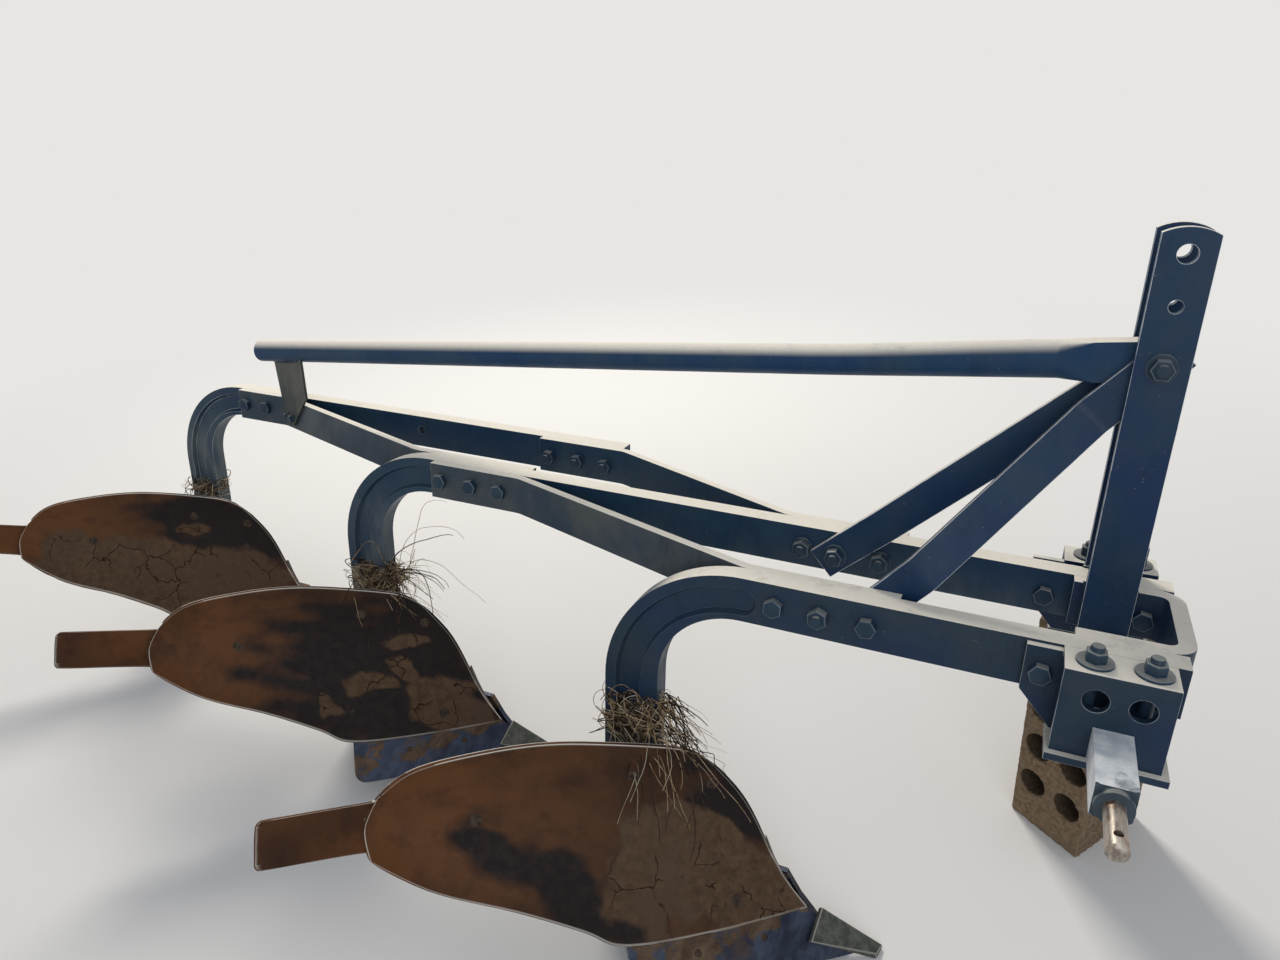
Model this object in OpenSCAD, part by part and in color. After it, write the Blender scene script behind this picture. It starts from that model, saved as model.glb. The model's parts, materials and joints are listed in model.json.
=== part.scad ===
// Three-furrow mounted moldboard plough with goose-neck beams, standing on its share tips
// with the headstock resting on a hollow concrete block.
// +X is the direction of travel, +Y the unploughed side, +Z up.
// Every piece is drawn in the plough's own frame: z = 0 is the underside of the beams,
// y = 0 the right face of the front beam. stand() then leans the whole plough onto its props.

/* [Layout] */
// Distance between neighbouring furrows
furrow = 254; // [240:1:280]
// Distance from one bottom to the next along the plough
pitch = 811; // [780:1:840]
// Height from the share tips to the underside of the beams
clearance = 640; // [620:1:660]

/* [Beams] */
// Height of the beam bars
beam_h = 80; // [76:1:90]
// Thickness of the beam bars
beam_t = 40; // [34:1:44]
// Front end of the two beams that carry the headstock
beam_front = 775; // [765:1:800]
// Front end of the rear beam, behind the second one
rear_beam_front = 482; // [460:1:520]
// Place of the spare hole in the rear beam, ahead of its leg
spare_hole = 728; // [700:1:760]
// Place where a beam starts to bend down into its leg
bend_x = 120; // [110:1:135]
// Inner radius of the goose-neck
neck_r = 147; // [130:1:160]
// Width of the leg below the bend
leg_w = 105; // [95:1:115]
// Depth of the forged hollow on each side of the leg
hollow_d = 11; // [6:1:15]
// Width of the rim outside the hollow
hollow_rim = 20; // [16:1:26]
// Width of the forged hollow at its mouth
hollow_w = 50; // [36:1:54]
// Length of the hollow down the leg
hollow_l = 190; // [150:5:230]
// Bolt holes through beams and plates
bolt_d = 21; // [17:1:23]

/* [Crank plates] */
// Thickness of the cranked plates between the beams
crank_t = 18; // [14:1:22]
// Bend radius on a crank plate's centre line
crank_r = 60; // [40:5:90]

/* [Headstock] */
// Thickness of the U strap that ties the front beams
strap_t = 25; // [20:1:30]
// Reach of the strap ahead of the beams
strap_over = 14; // [8:1:22]
// Rear ends of the strap's legs
strap_rear = 625; // [600:1:635]
// Outer radius of the strap's corners
strap_r = 40; // [32:1:48]
// Centre of the mast and of the cross shaft along the plough
mast_x = 680; // [672:1:688]
// Width of the mast plates
mast_w = 76; // [70:1:84]
// Thickness of the mast plates
mast_t = 16; // [12:1:20]
// Height of the mast above the underside of the beams
mast_h = 657; // [640:5:680]
// Top link hole
top_hole_d = 28; // [25:0.5:32]
// Top link hole below the top of the mast
top_inset = 38; // [32:1:50]
// Second hole in the mast
low_hole_d = 20; // [16:1:24]
// Second hole below the top link hole
low_gap = 75; // [60:1:90]
// Height of the bolt that holds the braces and the stay
brace_bolt_z = 453; // [440:1:470]
// Thickness of the braces
brace_t = 12; // [10:1:14]
// Width of the braces
brace_w = 62; // [55:1:70]
// Flat length of a brace beyond its lower bolt
brace_foot = 104; // [95:1:120]
// Flat length of a brace below the mast bolt
brace_head = 120; // [110:1:150]
// Outer diameter of the long stay
stay_d = 48; // [42:1:54]
// Wall of the long stay
stay_wall = 4; // [3:0.5:6]
// Flattened front end of the long stay
stay_flat = 90; // [85:1:110]
// Rear end of the long stay
stay_rear = -1371; // [-1400:1:-1350]
// Height of the stay's axis at its rear end
stay_rear_z = 210; // [195:1:225]
// Thickness of the bracket under the stay
stay_bracket_t = 8; // [6:1:12]
// Holes in the foot of the stay's bracket
foot_hole_d = 13; // [10:1:14]

/* [Hitch] */
// Side of the square cross shaft
shaft_w = 52; // [44:1:56]
// Drop from the underside of the beams to the top of the shaft
shaft_drop = 4; // [3:1:10]
// Reach of the square part beyond the beams
shaft_reach = 194; // [170:1:220]
// Diameter of the link pins
pin_d = 28.4; // [22:0.1:32]
// Length of a link pin beyond its collar
pin_l = 87; // [75:1:100]
// Diameter of the collar behind each pin
collar_d = 50; // [42:1:51]
// Length of the collar
collar_l = 10; // [6:1:14]
// Chamfer on the ends of the shaft and its pins
shaft_chamfer = 4; // [2:1:6]
// Linchpin hole through each pin
linch_d = 12; // [9:0.5:13]
// Linchpin hole from the pin's end
linch_inset = 23; // [18:1:28]
// Depth of the side brackets, from beam to face plate
bracket_d = 67; // [60:1:80]
// Length of the side brackets along the plough
bracket_l = 147; // [140:1:160]
// Plate thickness of the side brackets
bracket_t = 12; // [10:1:14]
// Round holes in the bracket's face
face_hole_d = 36; // [30:1:40]
// Overhang of the clamp plate under each bracket
clamp_over = 10; // [6:1:16]

/* [Bottoms] */
// Thickness of the moldboards
board_t = 8; // [6:0.5:10]
// Hollow of the moldboard's face behind a straight line from share to top edge
board_sag = 34; // [20:1:45]
// Thickness of the shares
share_t = 12; // [10:1:14]
// Thickness of the point pieces
point_t = 16; // [12:1:20]
// Thickness of the landsides
landside_t = 12; // [10:1:16]
// Height of the landsides
landside_h = 100; // [80:1:120]
// Thickness of the frog's upright plate
frog_t = 20; // [16:1:26]
// Thickness of the frog's pads behind the moldboard and the share
frog_pad = 10; // [8:1:14]
// Diameter of the rods behind the moldboards
rod_d = 22; // [18:1:26]
// Bolt holes of the shares and landsides
plough_bolt_d = 13; // [11:1:15]
// Clearance between a piece and its seat
seat = 0.3; // [0.2:0.1:0.5]

/* [Prop] */
// Height of the hollow block, standing on end
block_h = 500; // [490:1:510]
// Width of the block's drilled face
block_w = 160; // [150:1:180]
// Depth of the block
block_d = 190; // [180:1:200]
// Diameter of the block's round holes
block_hole_d = 46; // [36:1:52]
// Rows of holes
block_rows = 4; // [3:1:5]
// Distance between rows of holes
block_row_gap = 96; // [90:1:110]

/* [Hidden] */

blue = "midnightblue";
steel = "slategray";
rust = "sienna";

// Leg and neck
outer_r = neck_r + leg_w;
leg_rear = bend_x - outer_r;
leg_front = bend_x - neck_r;
leg_bottom = -clearance + 60;
beam_ends = [beam_front, beam_front + pitch, rear_beam_front + pitch];

// Bolt rows of the frame: places along the plough, height above the beams' underside
head_row = [[584, 735], 33];
front_row = [[175, 250, 327], 40];
lap_row = [[-647, -569, -497], 42];
brace_row = [[160, 224, 305], 38];
tail_row = [[-1469, -1395], 42];
end_row = [[-514, -439, -367], 38];
spare_row = [[spare_hole - 2 * pitch], beam_h * 0.55];
beam_rows = [[head_row, front_row], [head_row, lap_row, brace_row], [tail_row, end_row, spare_row]];

// Crank plates, one row each: front beam's number, rear end, rear bend, front bend, front end,
// bolt row at the rear beam, bolt row at the front beam
cranks = [
    [0, -672, -449, 112, 370, lap_row, front_row],
    [1, -1491, -1327, -752, -448, tail_row, lap_row],
    [1, -540, -320, 120, 345, end_row, brace_row]
];

// Headstock
mast_y = furrow - strap_t - mast_t;
mast_gap = strap_t + beam_t;
mast_crown = 10;
top_hole_z = mast_h - top_inset;
low_hole_z = top_hole_z - low_gap;
brace_tab = 34;
brace_r = 40;
brace_feet = [[front_row[0][2], front_row[1], beam_t + crank_t + brace_t / 2],
              [brace_row[0][1], brace_row[1], furrow - brace_t / 2]];
brace_tops = [mast_y + mast_t + brace_t / 2, mast_y + mast_t + mast_gap - brace_t / 2];
stay_tab = mast_gap - 2 * brace_t;
stay_neck = stay_flat + 50;
stay_front = [mast_x, mast_y + mast_t + mast_gap / 2, brace_bolt_z];

// Bracket of the stay: a plate on the right flank of the middle crank plate, which it follows
flank = crank_path(1);
flank_turn = heading(flank, 1);
bracket_off = crank_t / 2 + stay_bracket_t + seat;
bracket_mid = 44;
bracket_at = flank[1] + bracket_mid * [cos(flank_turn), sin(flank_turn)]
           + (bracket_off - stay_bracket_t / 2) * [sin(flank_turn), -cos(flank_turn)];
stay_share = (bracket_at.x - stay_rear) / (mast_x - stay_rear);
stay_end = [stay_rear, (bracket_at.y - stay_share * stay_front.y) / (1 - stay_share), stay_rear_z];

// Hitch
shaft_x = mast_x + 7;
shaft_top = -shaft_drop;
shaft_bottom = shaft_top - shaft_w;
side_mid = (furrow + beam_t) / 2;
shaft_half = side_mid + shaft_reach;
bracket_rear = shaft_x - 77;
bracket_front = bracket_rear + bracket_l;
bracket_lug = 50;
face_hole_x = 30;
face_hole_z = beam_h / 2 - 2;
bolt_half = shaft_w / 2 + bolt_d / 2 + 1;
clamp_bottom = shaft_bottom - bracket_t;

// Bottoms, measured on the front one. Each edge of the moldboard's face is a curve through
// its points: x, y and z below the beams.
tip = [420, 30, -clearance];
wing = [54, -264, -clearance];
board_low = [[280, 8, -570], [150, -112, -569], [15, -215, -565], [-50, -243, -534],
             [-156, -290, -489], [-290, -343, -452], [-385, -385, -384]];
board_top = [[82, -22, -280], [40, -52, -252], [-61, -114, -232], [-159, -170, -224],
             [-252, -230, -231], [-350, -297, -253], [-402, -336, -300]];
board_shin = [[280, 8, -570], [222, 4, -500], [176, 2, -410], [140, -4, -350], [82, -22, -280]];
board_end = [[-385, -385, -384], [-408, -366, -342], [-402, -336, -300]];
tail_ends = [[-478, -533, -313], [-494, -503, -246]];
board_cols = 24;
board_rows = 10;
share_cols = 8;
share_rows = 3;
// Frog: its plate's top and bottom above the floor line, its nose behind the tip
frog_h = 245;
frog_lift = 12;
frog_nose = 90;
// Landside: its heel behind the leg, and its slanting nose behind the tip, from low to high
landside_heel = 95;
landside_nose = [110, 160, 190];
share_nose = tip + [-24, -12, 6];
nose_top = [tip + [0, 8, 10], tip + [-6, -18, 10]];
frog_top = -clearance + frog_h;
frog_low = -clearance + frog_lift;
rod_at = [(leg_rear + leg_front) / 2, frog_top + 40];
rod_foot_t = 10;

// Stance: the plough turns about the line through its share tips until the front corner of
// the left clamp plate lies on the block
ahead_left = [furrow, pitch, 0] / norm([furrow, pitch, 0]);
along_tips = [-pitch, furrow, 0] / norm([-pitch, furrow, 0]);
left_out = furrow + beam_t + mast_t + bracket_d + clamp_over;
rest_point = [bracket_front + clamp_over, left_out, clamp_bottom] - tip;
rest_ahead = rest_point * ahead_left;
lean = acos(block_h / norm([rest_ahead, rest_point.z])) - atan2(rest_ahead, rest_point.z);
block_turn = 53;
rest_world = lean_over(rest_point);
block_u = [cos(block_turn), sin(block_turn), 0];
block_v = [-sin(block_turn), cos(block_turn), 0];
rest_in = [110, 22];
block_at = [rest_world.x, rest_world.y, 0] - rest_in.x * block_u - rest_in.y * block_v;

// Origin: on the floor, below the middle of the whole object
rear_most = lean_over(tail_ends[1] + [-2 * pitch, 2 * furrow, 0] - tip);
right_most = lean_over(tail_ends[0] - tip);
left_most = lean_over([shaft_x, side_mid + shaft_half + collar_l + pin_l, shaft_top] - tip);
front_most = block_at + block_d * block_u;
origin = [(rear_most.x + front_most.x) / 2, (right_most.y + left_most.y) / 2, 0];

// A point of the plough, given from the front share tip, after the lean
function lean_over(p) =
    along_tips * (p * along_tips)
    + ahead_left * ((p * ahead_left) * cos(lean) + p.z * sin(lean))
    + [0, 0, p.z * cos(lean) - (p * ahead_left) * sin(lean)];

// Unit vector
function unit(v) = v / norm(v);

// Height of the floor below or above a place of the front bottom, in the plough's own frame
function floor_z(p) = tip.z + (p - tip) * ahead_left * tan(lean);

// Point on a smooth curve through a list of points, at t from 0 to 1
function on_curve(pts, t) =
    let (n = len(pts) - 1, k = min(floor(t * n), n - 1), f = t * n - k,
         a = pts[max(k - 1, 0)], b = pts[k], c = pts[k + 1], d = pts[min(k + 2, n)])
    b + f * ((c - a) / 2 + f * (a - 2.5 * b + 2 * c - d / 2 + f * (1.5 * b - a / 2 - 1.5 * c + d / 2)));

// The moldboard's face: u runs from the shin to the rear end, v from the share to the top edge
function board_at(u, v) =
    let (low = on_curve(board_low, u), top = on_curve(board_top, u),
         shin = on_curve(board_shin, v), end = on_curve(board_end, v),
         corners = (1 - u) * ((1 - v) * board_low[0] + v * board_top[0])
                 + u * ((1 - v) * board_end[0] + v * board_end[2]),
         hollow = board_sag * 4 * v * (1 - v) * (1 - pow(2 * u - 1, 4)))
    (1 - v) * low + v * top + (1 - u) * shin + u * end - corners
    + hollow * [-0.54, 0.84, 0];

// Direction out of the moldboard's face, towards the furrow slice
function board_out(u, v) =
    let (e = 0.01, u0 = max(u - e, 0), u1 = min(u + e, 1), v0 = max(v - e, 0), v1 = min(v + e, 1))
    unit(cross(board_at(u0, v) - board_at(u1, v), board_at(u, v1) - board_at(u, v0)));

// The share's face: u runs from the point to the wing, v from the cutting edge to the moldboard
function share_at(u, v) =
    let (edge = share_nose + u * (wing + [0, 0, share_nose.z - tip.z] - share_nose),
         top = on_curve(board_low, u / 3))
    edge + v * (top - edge);
function share_out(u, v) = unit(cross(share_at(0, v) - share_at(1, v), share_at(u, 1) - share_at(u, 0)));

// Centre-line samples of a bar bent to radius r at the inner points of a path: x, y, heading
function bends(path, r, steps = 8) = [
    [path[0].x, path[0].y, heading(path, 0)],
    for (i = [1 : len(path) - 2])
        let (h0 = heading(path, i - 1), turn = wrap(heading(path, i) - h0),
             side = sign(turn) * r, back = r * tan(abs(turn) / 2),
             s = path[i] - back * [cos(h0), sin(h0)])
        for (k = [0 : steps])
            let (h = h0 + turn * k / steps)
            [s.x + side * (sin(h) - sin(h0)), s.y + side * (cos(h0) - cos(h)), h],
    [path[len(path) - 1].x, path[len(path) - 1].y, heading(path, len(path) - 2)]
];
function heading(path, i) = atan2(path[i + 1].y - path[i].y, path[i + 1].x - path[i].x);
function wrap(a) = a > 180 ? a - 360 : a < -180 ? a + 360 : a;

// Outline of a bar of thickness t that follows a bent path
function bar_outline(path, r, t) =
    let (s = bends(path, r), n = len(s))
    concat([for (p = s) [p.x - t / 2 * sin(p.z), p.y + t / 2 * cos(p.z)]],
           [for (i = [n - 1 : -1 : 0]) [s[i].x + t / 2 * sin(s[i].z), s[i].y - t / 2 * cos(s[i].z)]]);

// Centre line of a crank plate, from the left beam's right face to the right beam's left face
function crank_path(i) =
    let (c = cranks[i],
         y_rear = (c[0] + 1) * furrow - crank_t / 2,
         y_front = c[0] * furrow + beam_t + crank_t / 2)
    [[c[1], y_rear], [c[2], y_rear], [c[3], y_front], [c[4], y_front]];

// Flat bar bent to a path seen from above, standing from z = 0
module bent_bar(path, r, t, h) {
    linear_extrude(h) polygon(bar_outline(path, r, t));
}

// Plate cut to a side view outline (x, z), from y to y + t
module side_plate(y, t) {
    translate([0, y + t, 0]) rotate([90, 0, 0]) linear_extrude(t) children();
}

// Skin between two equal grids of points, rows of columns, as a closed solid
module skin(front, back) {
    rows = len(front);
    cols = len(front[0]);
    m = rows * cols;
    pts = concat([for (r = front) for (p = r) p], [for (r = back) for (p = r) p]);
    function at(i, j) = i * cols + j;
    rim = concat([for (j = [0 : cols - 2]) [0, j]], [for (i = [0 : rows - 2]) [i, cols - 1]],
                 [for (j = [cols - 1 : -1 : 1]) [rows - 1, j]], [for (i = [rows - 1 : -1 : 1]) [i, 0]]);
    faces = concat(
        [for (i = [0 : rows - 2]) for (j = [0 : cols - 2])
            for (f = [[at(i, j), at(i, j + 1), at(i + 1, j + 1)],
                      [at(i, j), at(i + 1, j + 1), at(i + 1, j)]]) f],
        [for (i = [0 : rows - 2]) for (j = [0 : cols - 2])
            for (f = [[m + at(i, j), m + at(i + 1, j + 1), m + at(i, j + 1)],
                      [m + at(i, j), m + at(i + 1, j), m + at(i + 1, j + 1)]]) f],
        [for (k = [0 : len(rim) - 1])
            let (a = rim[k], b = rim[(k + 1) % len(rim)], ia = at(a.x, a.y), ib = at(b.x, b.y))
            for (f = [[ib, ia, m + ia], [ib, m + ia, m + ib]]) f]);
    polyhedron(points = pts, faces = faces);
}

// Round rod between two points
module rod(a, b, d) {
    v = b - a;
    translate(a) rotate([0, acos(v.z / norm(v)), atan2(v.y, v.x)]) cylinder(d = d, h = norm(v), $fn = 32);
}

// Puts the plough in its parked place
module stand() {
    translate(-origin) rotate(a = lean, v = along_tips) translate(-tip) children();
}

// Places a piece of the front bottom on bottom i
module on_bottom(i) {
    translate([-i * pitch, i * furrow, 0]) children();
}

// Side view of a beam with its goose-neck leg
module beam_side(front) {
    difference() {
        union() {
            translate([bend_x, 0]) square([front - bend_x, beam_h]);
            intersection() {
                translate([bend_x, beam_h - outer_r]) circle(r = outer_r, $fn = 120);
                translate([leg_rear, beam_h - outer_r]) square([outer_r, outer_r]);
            }
            translate([leg_rear, leg_bottom]) square([outer_r, beam_h - outer_r - leg_bottom]);
        }
        translate([bend_x, -neck_r]) circle(r = neck_r, $fn = 120);
        translate([leg_front, leg_bottom - 1]) square([neck_r + 1, -neck_r - leg_bottom + 1]);
    }
}

// Row of bolt holes through pieces that stand side by side, from y over a length
module bolt_holes(row, y, long) {
    for (x = row[0])
        translate([x, y - 1, row[1]]) rotate([-90, 0, 0]) cylinder(d = bolt_d, h = long + 2, $fn = 48);
}

// Forged hollow that follows the outside of the goose-neck, drawn flat: depth along z
module forged_hollow() {
    half = hollow_w / 2;
    mid = outer_r - hollow_rim - half;
    bed = half - hollow_d * 0.6;
    module profile() {
        polygon([[-half, -1], [half, -1], [half, 0], [bed, hollow_d], [-bed, hollow_d], [-half, 0]]);
    }
    module round_end() {
        translate([0, 0, -1]) cylinder(r = half, h = 1, $fn = 48);
        cylinder(r1 = half, r2 = bed, h = hollow_d, $fn = 48);
    }
    translate([bend_x, beam_h - outer_r, 0]) {
        rotate([0, 0, 90]) rotate_extrude(angle = 90, $fn = 120) translate([mid, 0]) profile();
        translate([-mid, 0, 0]) rotate([90, 0, 0]) linear_extrude(hollow_l) profile();
        translate([0, mid, 0]) round_end();
        translate([-mid, -hollow_l, 0]) round_end();
    }
}

module beam(i) {
    color(blue) difference() {
        on_bottom(i) difference() {
            side_plate(0, beam_t) beam_side(beam_ends[i]);
            translate([0, beam_t, 0]) rotate([90, 0, 0]) forged_hollow();
            mirror([0, 1, 0]) rotate([90, 0, 0]) forged_hollow();
        }
        for (row = beam_rows[i]) bolt_holes(row, i * furrow, beam_t);
    }
}

module crank_plate(i) {
    c = cranks[i];
    path = crank_path(i);
    color(blue) difference() {
        bent_bar(path, crank_r, crank_t, beam_h);
        bolt_holes(c[5], path[0].y - crank_t / 2, crank_t);
        bolt_holes(c[6], path[3].y - crank_t / 2, crank_t);
    }
}

module strap() {
    y0 = beam_t + strap_t / 2;
    y1 = furrow - strap_t / 2;
    front = beam_front + strap_over - strap_t / 2;
    color(blue) difference() {
        bent_bar([[strap_rear, y0], [front, y0], [front, y1], [strap_rear, y1]],
                 strap_r - strap_t / 2, strap_t, beam_h);
        bolt_holes(head_row, beam_t, furrow - beam_t);
    }
}

// One mast plate, with its right face at y
module mast_plate(y) {
    crown_r = (pow(mast_w / 2, 2) + pow(mast_crown, 2)) / (2 * mast_crown);
    color(blue) difference() {
        side_plate(y, mast_t) intersection() {
            translate([mast_x - mast_w / 2, 0]) square([mast_w, mast_h]);
            translate([mast_x, mast_h - crown_r]) union() {
                circle(r = crown_r, $fn = 96);
                translate([-mast_w / 2, -mast_h]) square([mast_w, mast_h]);
            }
        }
        for (hole = [[top_hole_z, top_hole_d], [low_hole_z, low_hole_d], [brace_bolt_z, bolt_d]])
            translate([mast_x, y - 1, hole[0]]) rotate([-90, 0, 0])
                cylinder(d = hole[1], h = mast_t + 2, $fn = 48);
    }
}

// Flat brace from its foot to the mast bolt, joggled sideways between flat ends
module brace(foot, top_y) {
    run = [mast_x, brace_bolt_z] - [foot.x, foot.y];
    long = norm(run);
    path = [[-brace_tab, foot.z], [brace_foot, foot.z],
            [long - brace_head, top_y], [long + brace_tab, top_y]];
    color(blue) difference() {
        translate([foot.x, 0, foot.y]) rotate([0, -atan2(run.y, run.x), 0])
            translate([0, 0, -brace_w / 2]) bent_bar(path, brace_r, brace_t, brace_w);
        bolt_holes([[mast_x], brace_bolt_z], top_y - brace_t / 2, brace_t);
        bolt_holes([[foot.x], foot.y], foot.z - brace_t / 2, brace_t);
    }
}

// Long tube from the rear beam to the mast bolt, its front end flattened between the braces
module stay_tube() {
    run = stay_end - stay_front;
    long = norm(run);
    neck = stay_front + run * (stay_neck / long);
    color(blue) difference() {
        union() {
            rod(neck, stay_end, stay_d);
            translate(stay_front) rotate([0, -atan(run.z / run.x), 0])
                translate([-stay_flat, -stay_tab / 2, -stay_d / 2])
                    cube([stay_flat + brace_w / 2, stay_tab, stay_d]);
            hull() {
                rod(neck, neck + run * (2 / long), stay_d);
                translate(stay_front) rotate([0, -atan(run.z / run.x), 0])
                    translate([-stay_flat, -stay_tab / 2, -stay_d / 2]) cube([1, stay_tab, stay_d]);
            }
        }
        rod(neck, stay_end + run * (1 / long), stay_d - 2 * stay_wall);
        bolt_holes([[mast_x], brace_bolt_z], stay_front.y - stay_tab / 2, stay_tab);
    }
}

// Height of the stay's axis above the beams' underside at place x
function stay_z(x) =
    stay_end.z + (stay_front.z - stay_end.z) * (x - stay_end.x) / (stay_front.x - stay_end.x);

// Plate that carries the stay: its foot bolted to the crank plate, its top cut to the tube
module stay_bracket() {
    rear = -14;
    front = 106;
    foot = [12, 62];
    foot_z = 12;
    shoulder_z = beam_h + 10;
    top_z = stay_z(stay_rear);
    color(blue) difference() {
        translate([flank[1].x, flank[1].y, 0]) rotate([0, 0, flank_turn]) difference() {
            side_plate(-bracket_off, stay_bracket_t)
                polygon([[rear, top_z], [foot[0] - 5, shoulder_z], [foot[0], foot_z], [foot[1] - 8, foot_z],
                         [foot[1], foot_z + 10], [front, shoulder_z + 14], [front, top_z]]);
            for (x = [foot[0] + 12, foot[1] - 14])
                translate([x, -bracket_off - 1, foot_z + 20]) rotate([-90, 0, 0])
                    cylinder(d = foot_hole_d, h = stay_bracket_t + 2, $fn = 32);
        }
        rod(stay_front, stay_end + (stay_end - stay_front) / 10, stay_d + 2 * seat);
    }
}

// Side bracket of the headstock in its right-hand form, its back against y = 0
module bracket() {
    difference() {
        union() {
            side_plate(-bracket_t, bracket_t)
                polygon([[bracket_rear - bracket_lug, beam_h - 4], [bracket_rear - bracket_lug, 0],
                         [bracket_rear, shaft_bottom], [bracket_front, shaft_bottom],
                         [bracket_front, beam_h - 4]]);
            translate([bracket_rear, -bracket_d, beam_h - bracket_t])
                cube([bracket_l, bracket_d, bracket_t]);
            side_plate(-bracket_d, bracket_t)
                translate([bracket_rear, shaft_bottom])
                    square([bracket_l, beam_h - bracket_t - shaft_bottom]);
        }
        translate([shaft_x - shaft_w / 2, -bracket_d - 1, shaft_bottom - 1])
            cube([shaft_w, bracket_d + 2, shaft_w + 1]);
        bolt_holes(head_row, -bracket_t, bracket_t);
        for (x = [-face_hole_x, face_hole_x])
            translate([shaft_x + x, -bracket_d - 1, face_hole_z]) rotate([-90, 0, 0])
                cylinder(d = face_hole_d, h = bracket_t + 2, $fn = 48);
        for (x = [-bolt_half, bolt_half])
            translate([shaft_x + x, -bracket_d / 2, beam_h - bracket_t - 1])
                cylinder(d = bolt_d, h = bracket_t + 2, $fn = 48);
    }
}

// Clamp plate under a side bracket, drawn up against the shaft by two long bolts
module clamp_plate() {
    difference() {
        translate([bracket_rear - clamp_over / 2, -bracket_d - clamp_over, clamp_bottom])
            cube([bracket_l + clamp_over * 1.5, bracket_d + clamp_over, bracket_t]);
        for (x = [-bolt_half, bolt_half])
            translate([shaft_x + x, -bracket_d / 2, clamp_bottom - 1])
                cylinder(d = bolt_d, h = bracket_t + 2, $fn = 48);
    }
}

// Turns a right-hand hitch piece into the left-hand one, outside the left mast plate
module left_side() {
    translate([0, furrow + beam_t + mast_t, 0]) mirror([0, 1, 0]) children();
}

module bracket_right() {
    color(blue) bracket();
}

module bracket_left() {
    color(blue) left_side() bracket();
}

module clamp_plate_right() {
    color(blue) clamp_plate();
}

module clamp_plate_left() {
    color(blue) left_side() clamp_plate();
}

// Round bar about the middle of the shaft, turned to a cone at both ends
module shaft_cone(d, half) {
    for (side = [0, 1]) mirror([0, 0, side]) {
        cylinder(d = d, h = half - shaft_chamfer, $fn = 64);
        translate([0, 0, half - shaft_chamfer])
            cylinder(d1 = d, d2 = d - 2 * shaft_chamfer, h = shaft_chamfer, $fn = 64);
    }
}

module cross_shaft() {
    z = shaft_top - shaft_w / 2;
    long = 2 * shaft_half;
    color("lightgray") difference() {
        union() {
            intersection() {
                translate([shaft_x - shaft_w / 2, side_mid - shaft_half, shaft_bottom])
                    cube([shaft_w, long, shaft_w]);
                translate([shaft_x, side_mid, z]) rotate([90, 0, 0])
                    shaft_cone(shaft_w * sqrt(2), shaft_half);
            }
            translate([shaft_x, side_mid, z]) rotate([90, 0, 0]) {
                cylinder(d = collar_d, h = long + 2 * collar_l, center = true, $fn = 64);
                shaft_cone(pin_d, shaft_half + collar_l + pin_l);
            }
        }
        for (side = [-1, 1])
            translate([shaft_x, side_mid + side * (shaft_half + collar_l + pin_l - linch_inset), z - pin_d])
                cylinder(d = linch_d, h = 2 * pin_d, $fn = 32);
    }
}

// Grid of points on the moldboard's face or behind it, over part of its columns and rows
function board_grid(depth, c0 = 0, c1 = board_cols, r0 = 0, r1 = board_rows) = [
    for (r = [r0 : r1]) [
        for (c = [c0 : c1])
            let (u = c / board_cols, v = r / board_rows)
            board_at(u, v) - depth * board_out(u, v)
    ]
];

module moldboard(i) {
    color(rust) on_bottom(i) skin(board_grid(0), board_grid(board_t));
}

// Grid of points on the share's face or behind it; the thickness runs out to a quarter at the
// cutting edge, and the upper edge stays clear of the moldboard
function share_grid(depth, c0 = 0, c1 = share_cols, r0 = 0, r1 = share_rows, pull = seat) = [
    for (r = [r0 : r1]) [
        for (c = [c0 : c1])
            let (u = c / share_cols, v = r / share_rows, top = r == share_rows,
                 p = share_at(u, v) - (top ? pull : 0) * unit(share_at(u, 1) - share_at(u, 0)),
                 out = top ? board_out(u / 3, 0) : share_out(u, v))
            p - (r == 0 && depth > 0 ? depth / 4 : depth) * out
    ]
];

// Bolt holes square to the share, through the share and what lies behind it
module share_holes() {
    for (u = [0.34, 0.66])
        let (p = share_at(u, 0.68), n = share_out(u, 0.68)) rod(p + 20 * n, p - 60 * n, plough_bolt_d);
}

module share(i) {
    color(steel) on_bottom(i) difference() {
        skin(share_grid(0), share_grid(share_t));
        share_holes();
    }
}

// Chisel point lying on the share's nose, its end down on the floor
module point(i) {
    edge = unit(share_at(1, 0) - share_at(0, 0));
    out = share_out(0.2, 0.5);
    base = [share_at(0, 0.95) - 18 * edge, share_at(0.19, 0.4)];
    top = [for (p = base) p + (point_t + 2 * seat) * out];
    low = [for (p = base) p + 2 * seat * out];
    nose_low = [for (p = nose_top) [p.x, p.y, floor_z(p)]];
    color("gray") on_bottom(i)
        skin([top, nose_top], [low, nose_low]);
}

// Tail piece bolted behind the rear end of the moldboard
module tail_piece(i) {
    c0 = board_cols - 4;
    rows = [2 : board_rows - 1];
    span = board_rows - 3;
    front = [for (r = rows) concat(board_grid(board_t + seat, c0, board_cols, r, r)[0],
                                   [tail_ends[0] + (r - 2) / span * (tail_ends[1] - tail_ends[0])])];
    back = [for (r = rows)
        [for (c = [0 : 5])
            front[r - 2][c] - board_t * board_out(min(1, (c0 + c) / board_cols), r / board_rows)]];
    color(rust) on_bottom(i) skin(front, back);
}

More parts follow.
